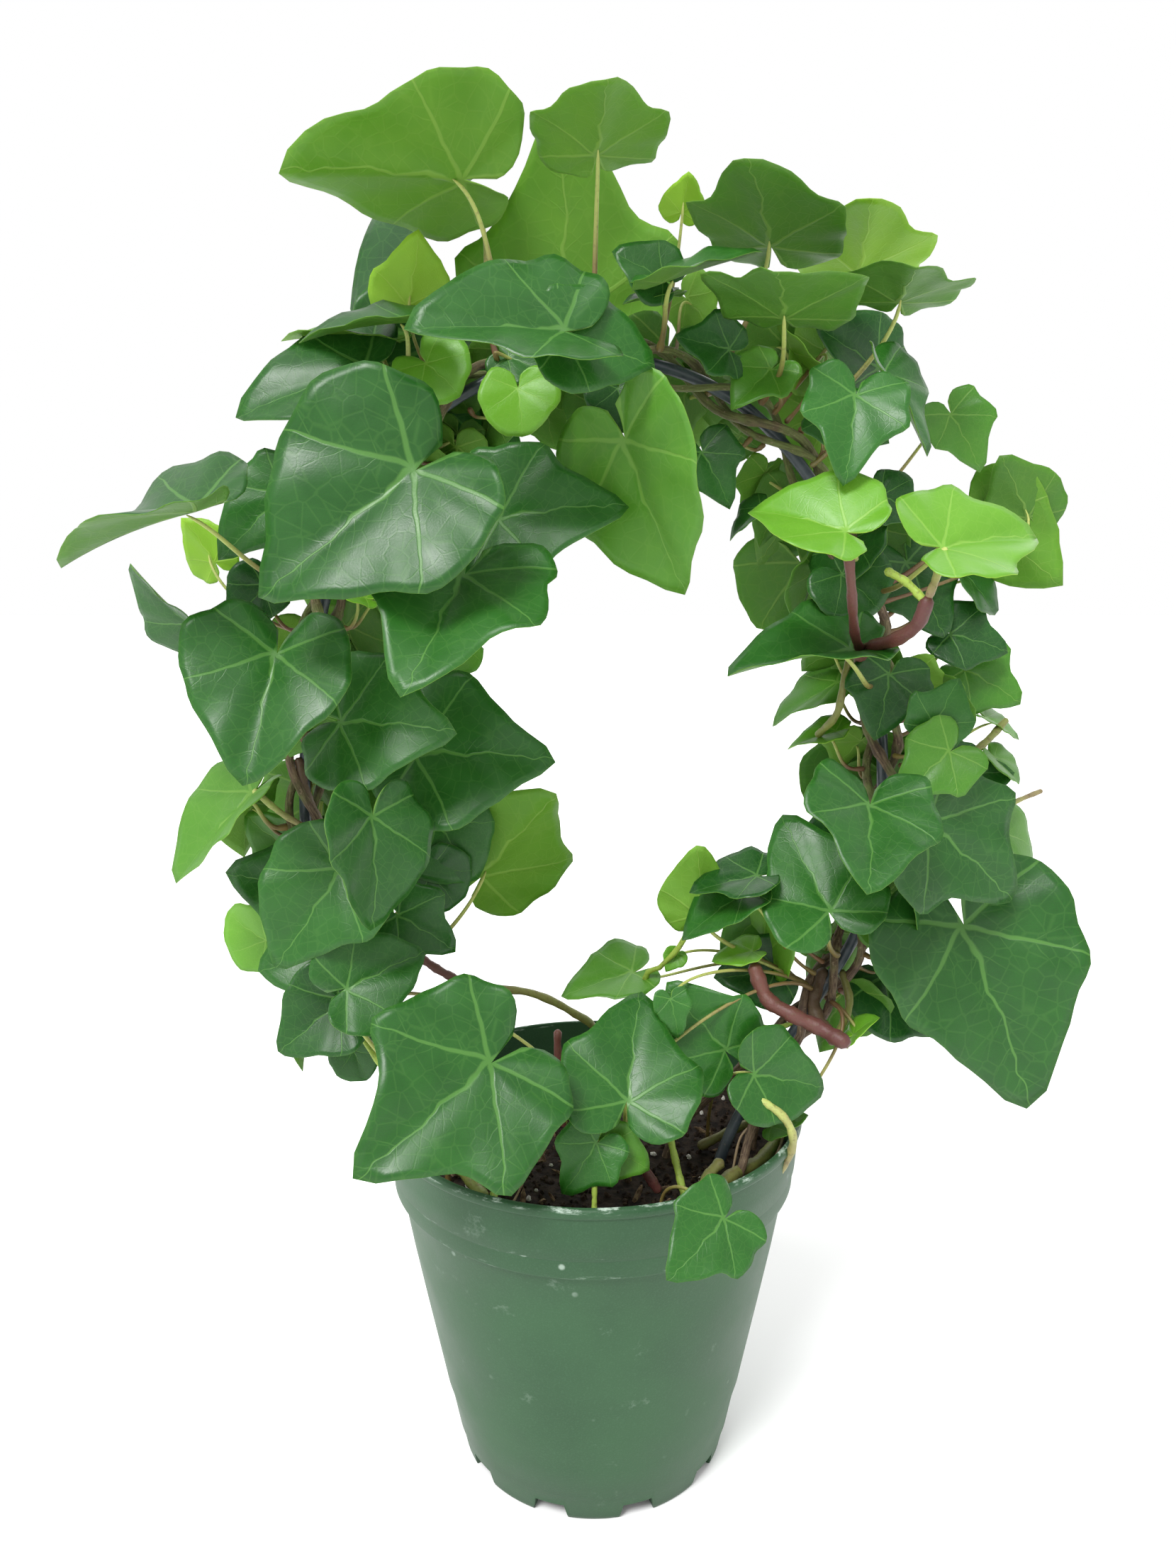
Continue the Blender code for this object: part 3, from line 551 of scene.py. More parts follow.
def vine_tree():
    """Geometry nodes that turn a route of edges into a knobbly woody stem."""
    tree = bpy.data.node_groups.new("woody_stem", 'GeometryNodeTree')
    face = tree.interface
    face.new_socket("Route", in_out='INPUT', socket_type='NodeSocketGeometry')
    for name, kind, value in (("Radius", 'NodeSocketFloat', VINE_R), ("Knobbliness", 'NodeSocketFloat', 0.28),
                              ("Joint Spacing", 'NodeSocketFloat', 0.024), ("Sides", 'NodeSocketInt', 12),
                              ("Seed", 'NodeSocketInt', 1)):
        face.new_socket(name, in_out='INPUT', socket_type=kind).default_value = value
    face.new_socket("Bark", in_out='INPUT', socket_type='NodeSocketMaterial')
    face.new_socket("Stem", in_out='OUTPUT', socket_type='NodeSocketGeometry')
    make, link = tree.nodes.new, tree.links.new
    given, out = make("NodeGroupInput"), make("NodeGroupOutput")
    curve, even = make("GeometryNodeMeshToCurve"), make("GeometryNodeResampleCurve")
    link(given.outputs["Route"], curve.inputs["Mesh"])
    link(curve.outputs["Curve"], even.inputs["Curve"])
    even.mode = 'LENGTH'
    even.inputs["Length"].default_value = 0.0016
    spline = make("GeometryNodeSplineParameter")
    keep = make("GeometryNodeStoreNamedAttribute")
    keep.data_type = 'FLOAT'
    keep.inputs["Name"].default_value = "along"
    link(even.outputs["Curve"], keep.inputs["Geometry"])
    link(spline.outputs["Factor"], keep.inputs["Value"])

    def sums(operation, a, b=None):
        node = make("ShaderNodeMath")
        node.operation = operation
        for index, value in enumerate((a, b)):
            if isinstance(value, bpy.types.NodeSocket):
                link(value, node.inputs[index])
            elif value is not None:
                node.inputs[index].default_value = value
        return node.outputs[0]

    wobble = make("ShaderNodeTexNoise")
    wobble.noise_dimensions = '4D'
    wobble.inputs["Scale"].default_value = 160.0
    link(given.outputs["Seed"], wobble.inputs["W"])
    joint = sums('PINGPONG', spline.outputs["Length"], given.outputs["Joint Spacing"])
    bulge = sums('EXPONENT', sums('MULTIPLY', sums('MULTIPLY', joint, joint), -160000.0))
    lumps = sums('MULTIPLY', sums('SUBTRACT', wobble.outputs[0], 0.5), given.outputs["Knobbliness"])
    size = sums('ADD', sums('ADD', 0.86, lumps), sums('MULTIPLY', bulge, 0.30))
    taper = sums('SUBTRACT', 1.0, sums('MULTIPLY', sums('POWER', spline.outputs["Factor"], 4.0), 0.35))
    radius = make("GeometryNodeSetCurveRadius")
    link(keep.outputs["Geometry"], radius.inputs["Curve"])
    link(sums('MULTIPLY', sums('MULTIPLY', size, taper), given.outputs["Radius"]), radius.inputs["Radius"])
    ring, around = make("GeometryNodeCurvePrimitiveCircle"), make("GeometryNodeStoreNamedAttribute")
    ring.inputs["Radius"].default_value = 1.0
    link(given.outputs["Sides"], ring.inputs["Resolution"])
    around.inputs["Name"].default_value = "around"
    around.data_type = 'FLOAT'
    turn = make("GeometryNodeSplineParameter")
    link(ring.outputs["Curve"], around.inputs["Geometry"])
    link(sums('PINGPONG', turn.outputs["Factor"], 0.5), around.inputs["Value"])
    body = make("GeometryNodeCurveToMesh")
    body.inputs["Fill Caps"].default_value = True
    link(radius.outputs["Curve"], body.inputs["Curve"])
    link(around.outputs["Geometry"], body.inputs["Profile Curve"])
    if "Scale" in body.inputs:
        own = make("GeometryNodeInputRadius")
        link(own.outputs[0], body.inputs["Scale"])
    rough = make("ShaderNodeTexNoise")
    rough.inputs["Scale"].default_value = 900.0
    rough.inputs["Detail"].default_value = 2.0
    normal = make("GeometryNodeInputNormal")
    push = make("ShaderNodeVectorMath")
    push.operation = 'SCALE'
    link(normal.outputs[0], push.inputs[0])
    link(sums('MULTIPLY', sums('SUBTRACT', rough.outputs[0], 0.5), 0.0007), push.inputs["Scale"])
    move = make("GeometryNodeSetPosition")
    link(body.outputs["Mesh"], move.inputs["Geometry"])
    link(push.outputs["Vector"], move.inputs["Offset"])
    smooth = make("GeometryNodeSetShadeSmooth")
    link(move.outputs["Geometry"], smooth.inputs["Geometry"])
    real, paint = make("GeometryNodeRealizeInstances"), make("GeometryNodeSetMaterial")
    link(smooth.outputs["Geometry"], real.inputs["Geometry"])
    link(real.outputs["Geometry"], paint.inputs["Geometry"])
    link(given.outputs["Bark"], paint.inputs["Material"])
    link(paint.outputs["Geometry"], out.inputs["Stem"])
    return tree


WOODY = vine_tree()


def grow(tree, obj, **inputs):
    """Runs a geometry tree on an object and leaves the finished mesh."""
    mod = obj.modifiers.new("grow", 'NODES')
    mod.node_group = tree
    wanted = {key.replace("_", " "): value for key, value in inputs.items()}
    for item in tree.interface.items_tree:
        if item.in_out == 'INPUT' and item.name in wanted:
            mod[item.identifier] = wanted[item.name]
    return settle(obj)


def stem(name, route, nodes=(), **inputs):
    mesh = bpy.data.meshes.new(name)
    mesh.from_pydata([tuple(p) for p in route], [(i, i + 1) for i in range(len(route) - 1)], [])
    obj = bpy.data.objects.new(name, mesh)
    bpy.context.scene.collection.objects.link(obj)
    grow(WOODY, obj, Bark=BARK, **inputs)
    return belongs(obj, "stem", *nodes)


for number, (name, side, phase, reach) in enumerate(VINES):
    stem("woody_" + name, vine_route(side, phase, reach), nodes=(name,), Seed=number + 3)

# ---- soil ----------------------------------------------------------------------------------------
def soil_height(x, y):
    big = noise.noise(Vector((x * 28, y * 28, 0.3))) * 0.0022
    mid = noise.noise(Vector((x * 110, y * 110, 4.1))) * 0.0011
    small = noise.noise(Vector((x * 420, y * 420, 7.7))) * 0.0006
    return SOIL_Z + 0.0004 + big + mid + small


SPOKES, SOIL_RINGS, SOIL_R = 190, 62, RIM_R - 0.0052
verts = [(0.0, 0.0, soil_height(0, 0))]
for r in range(1, SOIL_RINGS + 1):
    for s in range(SPOKES):
        a = 2 * math.pi * s / SPOKES
        x, y = SOIL_R * r / SOIL_RINGS * math.cos(a), SOIL_R * r / SOIL_RINGS * math.sin(a)
        verts.append((x, y, soil_height(x, y)))
lower = [(RIM_R - 0.0056, SOIL_Z - 0.006), (WALL_R - WALL - 0.0006, BAND_Z - 0.0036),
         (KNEE_R - WALL - 0.0006, KNEE_Z), (BASE_R - WALL - 0.0006, 0.0032), (0.02, 0.0019)]
for radius, z in lower:
    for s in range(SPOKES):
        a = 2 * math.pi * s / SPOKES
        verts.append((radius * math.cos(a), radius * math.sin(a), z))
verts.append((0.0, 0.0, 0.0019))
faces = [(0, 1 + s, 1 + (s + 1) % SPOKES) for s in range(SPOKES)]
for r in range(SOIL_RINGS + len(lower) - 1):
    for s in range(SPOKES):
        i, j = 1 + r * SPOKES + s, 1 + r * SPOKES + (s + 1) % SPOKES
        faces.append((i, i + SPOKES, j + SPOKES, j))
last = 1 + (SOIL_RINGS + len(lower) - 1) * SPOKES
faces += [(last + s, len(verts) - 1, last + (s + 1) % SPOKES) for s in range(SPOKES)]
soil = add_mesh("potting_mix", verts, faces, [SOIL_MIX])
belongs(soil, "soil", "soil")


def litter_tree():
    """Geometry nodes that strew rough grains over the faces of a surface."""
    tree = bpy.data.node_groups.new("soil_litter", 'GeometryNodeTree')
    face = tree.interface
    face.new_socket("Ground", in_out='INPUT', socket_type='NodeSocketGeometry')
    for name, kind, value in (("Density", 'NodeSocketFloat', 40000.0),
                              ("Grain Size", 'NodeSocketFloat', 0.0012),
                              ("Length", 'NodeSocketFloat', 1.0),
                              ("Seed", 'NodeSocketInt', 1)):
        face.new_socket(name, in_out='INPUT', socket_type=kind).default_value = value
    face.new_socket("Finish", in_out='INPUT', socket_type='NodeSocketMaterial')
    face.new_socket("Litter", in_out='OUTPUT', socket_type='NodeSocketGeometry')
    make, link = tree.nodes.new, tree.links.new
    given, out = make("NodeGroupInput"), make("NodeGroupOutput")
    strew = make("GeometryNodeDistributePointsOnFaces")
    link(given.outputs["Ground"], strew.inputs["Mesh"])
    link(given.outputs["Density"], strew.inputs["Density"])
    link(given.outputs["Seed"], strew.inputs["Seed"])
    grain, rough = make("GeometryNodeMeshIcoSphere"), make("ShaderNodeTexNoise")
    grain.inputs["Radius"].default_value = 1.0
    grain.inputs["Subdivisions"].default_value = 2
    rough.inputs["Scale"].default_value = 1.3
    bend, push = make("GeometryNodeSetPosition"), make("ShaderNodeVectorMath")
    push.operation = 'MULTIPLY_ADD'
    link(rough.outputs["Color"], push.inputs[0])
    push.inputs[1].default_value = (1.5, 1.5, 1.5)
    push.inputs[2].default_value = (-0.75, -0.75, -0.75)
    link(grain.outputs["Mesh"], bend.inputs["Geometry"])
    link(push.outputs[0], bend.inputs["Offset"])
    turn = make("FunctionNodeRandomValue")
    turn.data_type = 'FLOAT_VECTOR'
    turn.inputs["Max"].default_value = (6.283, 6.283, 6.283)
    link(given.outputs["Seed"], turn.inputs["Seed"])
    size = make("FunctionNodeRandomValue")
    size.data_type = 'FLOAT'
    size.inputs[2].default_value, size.inputs[3].default_value = 0.35, 1.0
    link(given.outputs["Seed"], size.inputs["Seed"])
    long, scale = make("ShaderNodeCombineXYZ"), make("ShaderNodeVectorMath")
    link(given.outputs["Length"], long.inputs[0])
    long.inputs[1].default_value, long.inputs[2].default_value = 0.8, 0.65
    whole = make("ShaderNodeMath")
    whole.operation = 'MULTIPLY'
    link(size.outputs[1], whole.inputs[0])
    link(given.outputs["Grain Size"], whole.inputs[1])
    scale.operation = 'SCALE'
    link(long.outputs[0], scale.inputs[0])
    link(whole.outputs[0], scale.inputs["Scale"])
    place = make("GeometryNodeInstanceOnPoints")
    link(strew.outputs["Points"], place.inputs["Points"])
    link(bend.outputs["Geometry"], place.inputs["Instance"])
    link(turn.outputs[0], place.inputs["Rotation"])
    link(scale.outputs["Vector"], place.inputs["Scale"])
    real, paint = make("GeometryNodeRealizeInstances"), make("GeometryNodeSetMaterial")
    link(place.outputs["Instances"], real.inputs["Geometry"])
    link(real.outputs["Geometry"], paint.inputs["Geometry"])
    link(given.outputs["Finish"], paint.inputs["Material"])
    link(paint.outputs["Geometry"], out.inputs["Litter"])
    return tree


LITTER = litter_tree()
LITTER_RINGS = 54
top_faces = faces[:SPOKES * LITTER_RINGS]
top_points = sorted({i for f in top_faces for i in f})
renumber = {old: new for new, old in enumerate(top_points)}
for name, mat, inputs in (
        ("peat_crumbs", CRUMB, dict(Density=90000.0, Grain_Size=0.0016, Seed=11)),
        ("perlite", PERLITE, dict(Density=4200.0, Grain_Size=0.0016, Seed=5)),
        ("bark_chips", CHIP, dict(Density=5200.0, Grain_Size=0.0016, Length=3.2, Seed=23))):
    litter = add_mesh(name, [verts[i] for i in top_points],
                      [tuple(renumber[i] for i in f) for f in top_faces], [mat])
    grow(LITTER, litter, Finish=mat, **inputs)
    belongs(litter, "soil")

# ---- leaves --------------------------------------------------------------------------------------
OUTLINES = {
    "spade": [(0, 1.0), (14, 0.80), (35, 0.65), (60, 0.61), (90, 0.56), (120, 0.47), (145, 0.37),
              (NOTCH, 0.18)],
    "arrow": [(0, 1.0), (12, 0.80), (26, 0.60), (48, 0.52), (66, 0.53), (92, 0.43), (120, 0.42), (145, 0.33),
              (NOTCH, 0.15)],
    "lobed": [(0, 1.0), (13, 0.80), (30, 0.63), (44, 0.63), (58, 0.70), (72, 0.60), (90, 0.52), (112, 0.53),
              (135, 0.44), (155, 0.32), (NOTCH, 0.18)],
    "round": [(0, 1.0), (30, 0.92), (60, 0.88), (100, 0.78), (140, 0.60), (NOTCH, 0.25)]}

# name, hub and tip as (x, z) in the hoop's plane, how far hub and tip stand ahead of it (mm), outline,
# where the upper side faces, fold, finish, where the petiole starts: None (nearest vine) or soil (x, y)
LEAVES = [
    # crown
    ("leaf_01", (1, 457), (3, 484), 5, 40, "lobed", "up", .3, "pale", None),
    ("leaf_02", (-42, 450), (-102, 457), 5, 20, "spade", "over", .3, "pale", None),
    ("leaf_03", (-44, 446), (-84, 413), -50, -40, "spade", "left", .3, "deep", None),
    ("leaf_04", (-8, 406), (-12, 473), -40, -30, "lobed", "back", .1, "pale", None),
    ("leaf_05", (-10, 404), (-62, 410), 50, 65, "spade", "slope", .4, "deep", None),
    ("leaf_06", (57, 430), (48, 461), 5, 42, "lobed", "up", .2, "deep", None),
    ("leaf_07", (86, 422), (88, 449), -25, 10, "lobed", "up", .2, "young", None),
    ("leaf_08", (22, 419), (54, 431), 25, 30, "spade", "up", .3, "deep", None),
    ("leaf_09", (62, 408), (58, 429), 35, 72, "lobed", "up", .3, "deep", None),
    ("leaf_10", (99, 413), (104, 429), 10, 45, "lobed", "up", .2, "deep", None),
    ("leaf_11", (95, 391), (113, 367), 25, 30, "lobed", "right", .4, "deep", None),
    ("leaf_12", (93, 392), (73, 408), -10, 0, "spade", "front", .3, "deep", None),
    ("leaf_13", (10, 370), (27, 315), 25, 35, "spade", "left", .2, "pale", None),
    ("leaf_14", (-32, 345), (10, 350), 25, 35, "lobed", "front", .2, "deep", None),
    # left side
    ("leaf_15", (-44, 326), (-67, 290), 45, 85, "lobed", "front", .3, "deep", None),
    ("leaf_16", (-60, 360), (-120, 318), 55, 70, "spade", "front", .3, "deep", None),
    ("leaf_17", (-70, 392), (-17, 356), -25, -20, "spade", "front", .5, "deep", None),
    ("leaf_18", (-75, 392), (-120, 381), 0, 5, "spade", "slope", .2, "deep", None),
    ("leaf_19", (-134, 347), (-186, 335), 45, 40, "lobed", "up", .4, "deep", None),
    ("leaf_20", (-138, 309), (-161, 329), 5, 15, "spade", "left", .4, "deep", None),
    ("leaf_21", (-109, 299), (-126, 251), 45, 70, "spade", "front", .4, "deep", None),
    ("leaf_22", (-88, 276), (-49, 273), 35, 50, "spade", "front", .1, "deep", None),
    ("leaf_23", (-62, 265), (-14, 263), 15, 30, "spade", "front", .1, "deep", None),
    ("leaf_24", (-40, 220), (-12, 257), -5, 5, "lobed", "back", .3, "pale", None),
    ("leaf_25", (-78, 242), (-77, 197), 45, 55, "spade", "right", .2, "deep", None),
    ("leaf_26", (-90, 222), (-118, 185), 35, 45, "spade", "front", .3, "deep", None),
    ("leaf_27", (-120, 250), (-153, 220), 10, 20, "spade", "left", .4, "pale", None),
    ("leaf_28", (-92, 173), (-119, 152), 20, 30, "spade", "front", .3, "deep", None),
    ("leaf_29", (-90, 178), (-58, 193), 50, 40, "spade", "front", .3, "deep", (-50, -34)),
    # over the pot
    ("leaf_30", (-38, 149), (-93, 101), 65, 95, "lobed", "front", .2, "deep", (-30, -30)),
    ("leaf_31", (12, 134), (18, 180), 55, 30, "lobed", "front", .2, "deep", (12, -28)),
    ("leaf_32", (59, 145), (88, 138), 35, 30, "spade", "front", .3, "deep", (42, -4)),
    ("leaf_33", (48, 154), (27, 180), 25, 25, "lobed", "front", .2, "deep", (30, 8)),
    ("leaf_34", (49, 86), (28, 60), 85, 100, "lobed", "front", .1, "deep", (22, -50)),
    # right side
    ("leaf_35", (84, 340), (50, 352), 65, 50, "spade", "slope", .4, "young", None),
    ("leaf_36", (117, 335), (151, 341), 60, 50, "lobed", "slope", .4, "young", None),
    ("leaf_37", (88, 300), (42, 297), 35, 35, "spade", "up", .4, "deep", None),
    ("leaf_38", (86, 384), (84, 360), 22, 35, "lobed", "front", .2, "deep", None),
    ("leaf_39", (106, 330), (121, 304), -10, 0, "lobed", "front", .2, "deep", None),
    ("leaf_40", (84, 289), (59, 276), -15, -20, "spade", "up", .2, "pale", None),
    ("leaf_41", (97, 246), (98, 213), 45, 75, "lobed", "front", .4, "deep", None),
    ("leaf_42", (118, 240), (153, 209), 30, 30, "lobed", "front", .2, "deep", None),
    ("leaf_43", (84, 207), (67, 244), 30, 10, "spade", "front", .1, "deep", None),
    ("leaf_44", (133, 202), (164, 131), 15, 35, "spade", "front", .3, "deep", None),
    ("leaf_45", (106, 184), (138, 160), -5, 0, "spade", "front", .3, "deep", None),
    ("leaf_46", (38, 206), (36, 235), 10, 15, "arrow", "back", .3, "pale", None),
    # back
    ("leaf_47", (-70, 330), (-90, 290), -35, -45, "lobed", "back", .2, "deep", None),
    ("leaf_48", (-30, 400), (-55, 365), -50, -60, "lobed", "back", .2, "deep", None),
    ("leaf_49", (70, 330), (90, 295), -35, -45, "lobed", "back", .2, "deep", None),
    ("leaf_50", (-95, 250), (-90, 210), -30, -40, "spade", "back", .2, "deep", None),
    ("leaf_51", (100, 260), (90, 220), -30, -40, "spade", "back", .2, "deep", None)]

# smaller leaves, in the same way: hub, tip, how far ahead, outline, where the upper side faces, finish
SMALL_LEAVES = [
    # crown
    ((-10, 402), (22, 393), 45, 40, "spade", "front", "deep"),
    ((-60, 412), (-56, 436), -20, -15, "spade", "back", "young"),
    ((28, 440), (30, 453), -10, -5, "spade", "back", "young"),
    ((-55, 394), (-44, 384), 10, 15, "round", "front", "young"),
    ((-70, 402), (-105, 406), -15, -10, "lobed", "up", "pale"),
    ((-60, 407), (-98, 406), 12, 15, "spade", "up", "deep"),
    ((-25, 386), (-24, 371), 15, 20, "round", "front", "young"),
    ((8, 386), (10, 373), 15, 20, "round", "front", "deep"),
    ((-28, 396), (-12, 390), 5, 10, "lobed", "front", "deep"),
    ((62, 400), (38, 392), -15, -10, "lobed", "back", "deep"),
    ((75, 398), (62, 385), -15, -5, "spade", "back", "pale"),
    ((22, 420), (5, 430), 10, 12, "spade", "front", "deep"),
    ((24, 415), (8, 414), 5, 8, "spade", "up", "deep"),
    ((30, 414), (42, 402), -25, -20, "lobed", "back", "pale"),
    ((118, 378), (130, 360), -10, -5, "lobed", "front", "pale"),
    ((36, 366), (46, 348), 5, 10, "lobed", "front", "deep"),
    ((56, 348), (44, 338), 0, 0, "spade", "up", "deep"),
    ((44, 398), (26, 404), 14, 20, "lobed", "front", "deep"),
    ((58, 392), (44, 380), 16, 22, "lobed", "slope", "pale"),
    ((78, 378), (98, 370), 14, 22, "lobed", "front", "deep"),
    ((96, 352), (112, 344), 12, 16, "lobed", "front", "deep"),
    ((84, 326), (98, 314), 14, 20, "round", "front", "deep"),
    # left side
    ((-128, 330), (-138, 346), -15, -15, "spade", "back", "young"),
    ((-104, 352), (-128, 332), 0, 5, "lobed", "front", "deep"),
    ((-112, 322), (-126, 306), -5, 0, "spade", "front", "deep"),
    ((-78, 318), (-97, 324), 5, 5, "spade", "up", "young"),
    ((-46, 303), (-60, 298), 0, 5, "round", "front", "pale"),
    ((-98, 278), (-112, 262), 0, 5, "spade", "front", "pale"),
    ((-108, 230), (-125, 243), -10, -10, "spade", "left", "pale"),
    ((-100, 216), (-132, 222), 5, 5, "spade", "front", "deep"),
    ((-118, 196), (-132, 206), -15, -15, "round", "left", "young"),
    ((-96, 192), (-125, 184), 5, 10, "spade", "front", "deep"),
    ((-55, 239), (-42, 220), 5, 10, "round", "front", "deep"),
    ((-58, 222), (-49, 208), 10, 12, "round", "front", "deep"),
    ((-70, 206), (-49, 191), 20, 25, "lobed", "front", "deep"),
    ((-82, 178), (-78, 165), 0, 5, "round", "front", "pale"),
    ((-88, 154), (-84, 142), 10, 12, "round", "front", "deep"),
    ((-100, 186), (-96, 172), -5, 0, "round", "front", "young"),
    # over the pot
    ((28, 174), (31, 158), 35, 38, "arrow", "front", "deep"),
    ((14, 184), (-14, 177), -5, 0, "spade", "up", "pale"),
    ((1, 117), (-13, 95), 58, 64, "lobed", "front", "deep"),
    ((4, 116), (22, 105), 54, 58, "spade", "front", "pale"),
    ((30, 191), (26, 184), 5, 8, "spade", "front", "young"),
    ((66, 124), (80, 130), 25, 25, "spade", "up", "pale"),
    # right side
    ((88, 338), (76, 312), 5, 10, "spade", "left", "deep"),
    ((146, 345), (134, 366), -15, -10, "spade", "back", "deep"),
    ((130, 345), (160, 323), -20, -15, "spade", "back", "pale"),
    ((126, 326), (138, 313), -15, -15, "round", "right", "deep"),
    ((122, 306), (144, 300), -10, -5, "lobed", "front", "deep"),
    ((128, 294), (150, 281), -15, -10, "lobed", "front", "pale"),
    ((136, 277), (150, 270), -10, -10, "spade", "up", "pale"),
    ((118, 274), (127, 292), 25, 25, "lobed", "front", "deep"),
    ((124, 265), (106, 249), 30, 35, "lobed", "front", "pale"),
    ((102, 292), (98, 268), 10, 20, "lobed", "front", "deep"),
    ((84, 272), (66, 268), 0, -5, "spade", "up", "young"),
    ((140, 263), (150, 254), 0, 5, "round", "right", "pale"),
    ((126, 256), (148, 258), 5, 5, "spade", "front", "deep"),
    ((145, 236), (157, 215), -5, 0, "round", "right", "pale"),
    ((92, 236), (80, 210), 5, 10, "lobed", "front", "deep"),
    ((104, 203), (114, 192), 5, 10, "round", "front", "pale"),
    ((112, 232), (122, 198), 15, 20, "spade", "right", "deep"),
    ((126, 184), (136, 157), -15, -12, "lobed", "front", "pale"),
    ((58, 220), (32, 216), 20, 20, "spade", "up", "deep"),
    ((54, 214), (30, 199), 18, 20, "spade", "up", "deep"),
    ((60, 206), (45, 190), -5, 0, "lobed", "front", "pale"),
    ((62, 192), (60, 221), 0, 0, "spade", "left", "young"),
    ((66, 185), (43, 182), 5, 10, "spade", "front", "deep"),
    ((57, 192), (42, 189), 15, 15, "spade", "up", "young"),
    ((95, 160), (103, 168), 20, 24, "spade", "up", "young")]

# shoots, cut stubs and roots: finish, radius, points as (x, z, how far ahead)
STRANDS = [
    ("red", 1.6, [(-63, 190, 0), (-56, 185, 0), (-49, 181, -2)]),
    ("olive", 1.5, [(-49, 181, -2), (-36, 178, -6), (-22, 176, -10),
                   (-8, 169, -15), (2, 159, -20), (4, 128, -25)]),
    ("lime", 1.2, [(-98, 190, 10), (-92, 176, 14), (-86, 162, 18), (-78, 148, 24),
                  (-66, 130, 30), (-56, 108, 38)]),
    ("olive", 2.3, [(-60, 118, 25), (-52, 109, 35), (-46, 102, 42), (-42, 95, 50)]),
    ("lime", 1.3, [(-35, 112, 38), (-37, 101, 44), (-38, 94, 50)]),
    ("root", 0.4, [(-22, 117, 45), (-24, 108, 48), (-28, 98, 52), (-31, 92, 57)]),
    ("olive", 2.3, [(40, 94, 52), (52, 104, 38), (62, 110, 22), (68, 118, 10), (72, 128, 0)]),
    ("olive", 1.7, [(40, 116, 10), (55, 124, 5), (68, 129, 0), (78, 134, -8)]),
    ("cream", 1.4, [(54, 138, 35), (62, 134, 38), (70, 128, 40),
                   (74, 120, 40), (73, 112, 36), (66, 100, 36)]),
    ("red", 1.5, [(-13, 161, -10), (-13, 153, -10), (-11, 122, -10)]),
    ("olive", 1.2, [(-6, 158, -12), (-9, 150, -11), (-11, 122, -10)]),
    ("cream", 1.2, [(2, 119, 50), (8, 118, 52)]),
    ("red", 1.7, [(8, 118, 52), (15, 112, 50), (24, 98, 50)]),
    ("lime", 1.2, [(28, 121, 46), (30, 112, 48), (34, 95, 54)]),
    ("olive", 1.9, [(47, 109, 44), (43, 104, 48), (37, 92, 56)]),
    ("lime", 0.9, [(-1, 113, 58), (0, 104, 61), (0, 90, 64)]),
    ("root", 0.45, [(52, 106, 30), (55, 120, 26), (62, 125, 24),
                   (70, 121, 24), (68, 112, 28), (60, 100, 38)]),
    ("red", 2.6, [(58, 186, 20), (63, 174, 24), (72, 168, 28), (82, 163, 30), (92, 157, 36)]),
    ("lime", 1.0, [(50, 169, 10), (58, 164, 10), (68, 163, 8), (77, 167, 4)]),
    ("lime", 0.9, [(52, 161, 8), (62, 161, 8), (76, 166, 4)]),
    ("bark", 2.4, [(83, 184, 2), (80, 174, 8), (82, 166, 14), (88, 158, 24)]),
    ("olive", 1.5, [(90, 184, 2), (93, 172, 8), (89, 159, 18)]),
    ("lime", 1.0, [(37, 207, 9), (31, 194, 8), (24, 186, 5), (18, 178, 0), (14, 122, -6)]),
    ("red", 2.1, [(91, 298, 8), (94, 301, 34), (103, 304, 52), (110, 309, 60), (113, 317, 63)]),
    ("red", 1.5, [(85, 338, 64), (87, 322, 60), (89, 306, 46), (92, 299, 30)]),
    ("cream", 1.2, [(118, 334, 61), (116, 326, 63), (113, 317, 63)]),
    ("lime", 1.2, [(99, 327, 58), (106, 323, 60), (113, 316, 63)]),
    ("olive", 1.3, [(88, 300, 10), (86, 288, 12), (84, 278, 10), (78, 271, 2)]),
    ("cream", 1.1, [(-119, 251, 10), (-110, 243, 8), (-100, 237, 4)]),
    ("bark", 1.7, [(-103, 262, 2), (-101, 250, 4), (-97, 240, 2)]),
    ("cream", 0.9, [(140, 243, -4), (150, 248, -8), (157, 251, -10)]),
    ("olive", 1.3, [(112, 258, 4), (128, 262, 6), (136, 268, 2), (143, 276, -6)])]

DROOP = 0.12
FRONT = np.array((0.0, -0.405, 0.333))   # the point in front of the plant that leaves move towards
FACINGS = {"front": (0, -1, 0.4), "slope": (0, -1, 1), "up": (0, -0.3, 1), "over": (0, 0.6, 1),
           "back": (0, 1, 0.6), "left": (-1, -0.7, 0.5), "right": (1, -0.7, 0.5)}
PETIOLE_LIFT = TWIST_R + VINE_R + PETIOLE_R + 2 * GAP
STALK_POINTS = 26
STALK_MARGIN = 12    # stations at each end of the wreath where no stalk starts


def ahead_of(spot, ahead):
    """A spot of the hoop's plane moved towards the front point until it stands this far ahead."""
    p = np.array((spot[0], 0, spot[1])) * MM
    return p + (FRONT - p) * (ahead * MM / -FRONT[1])


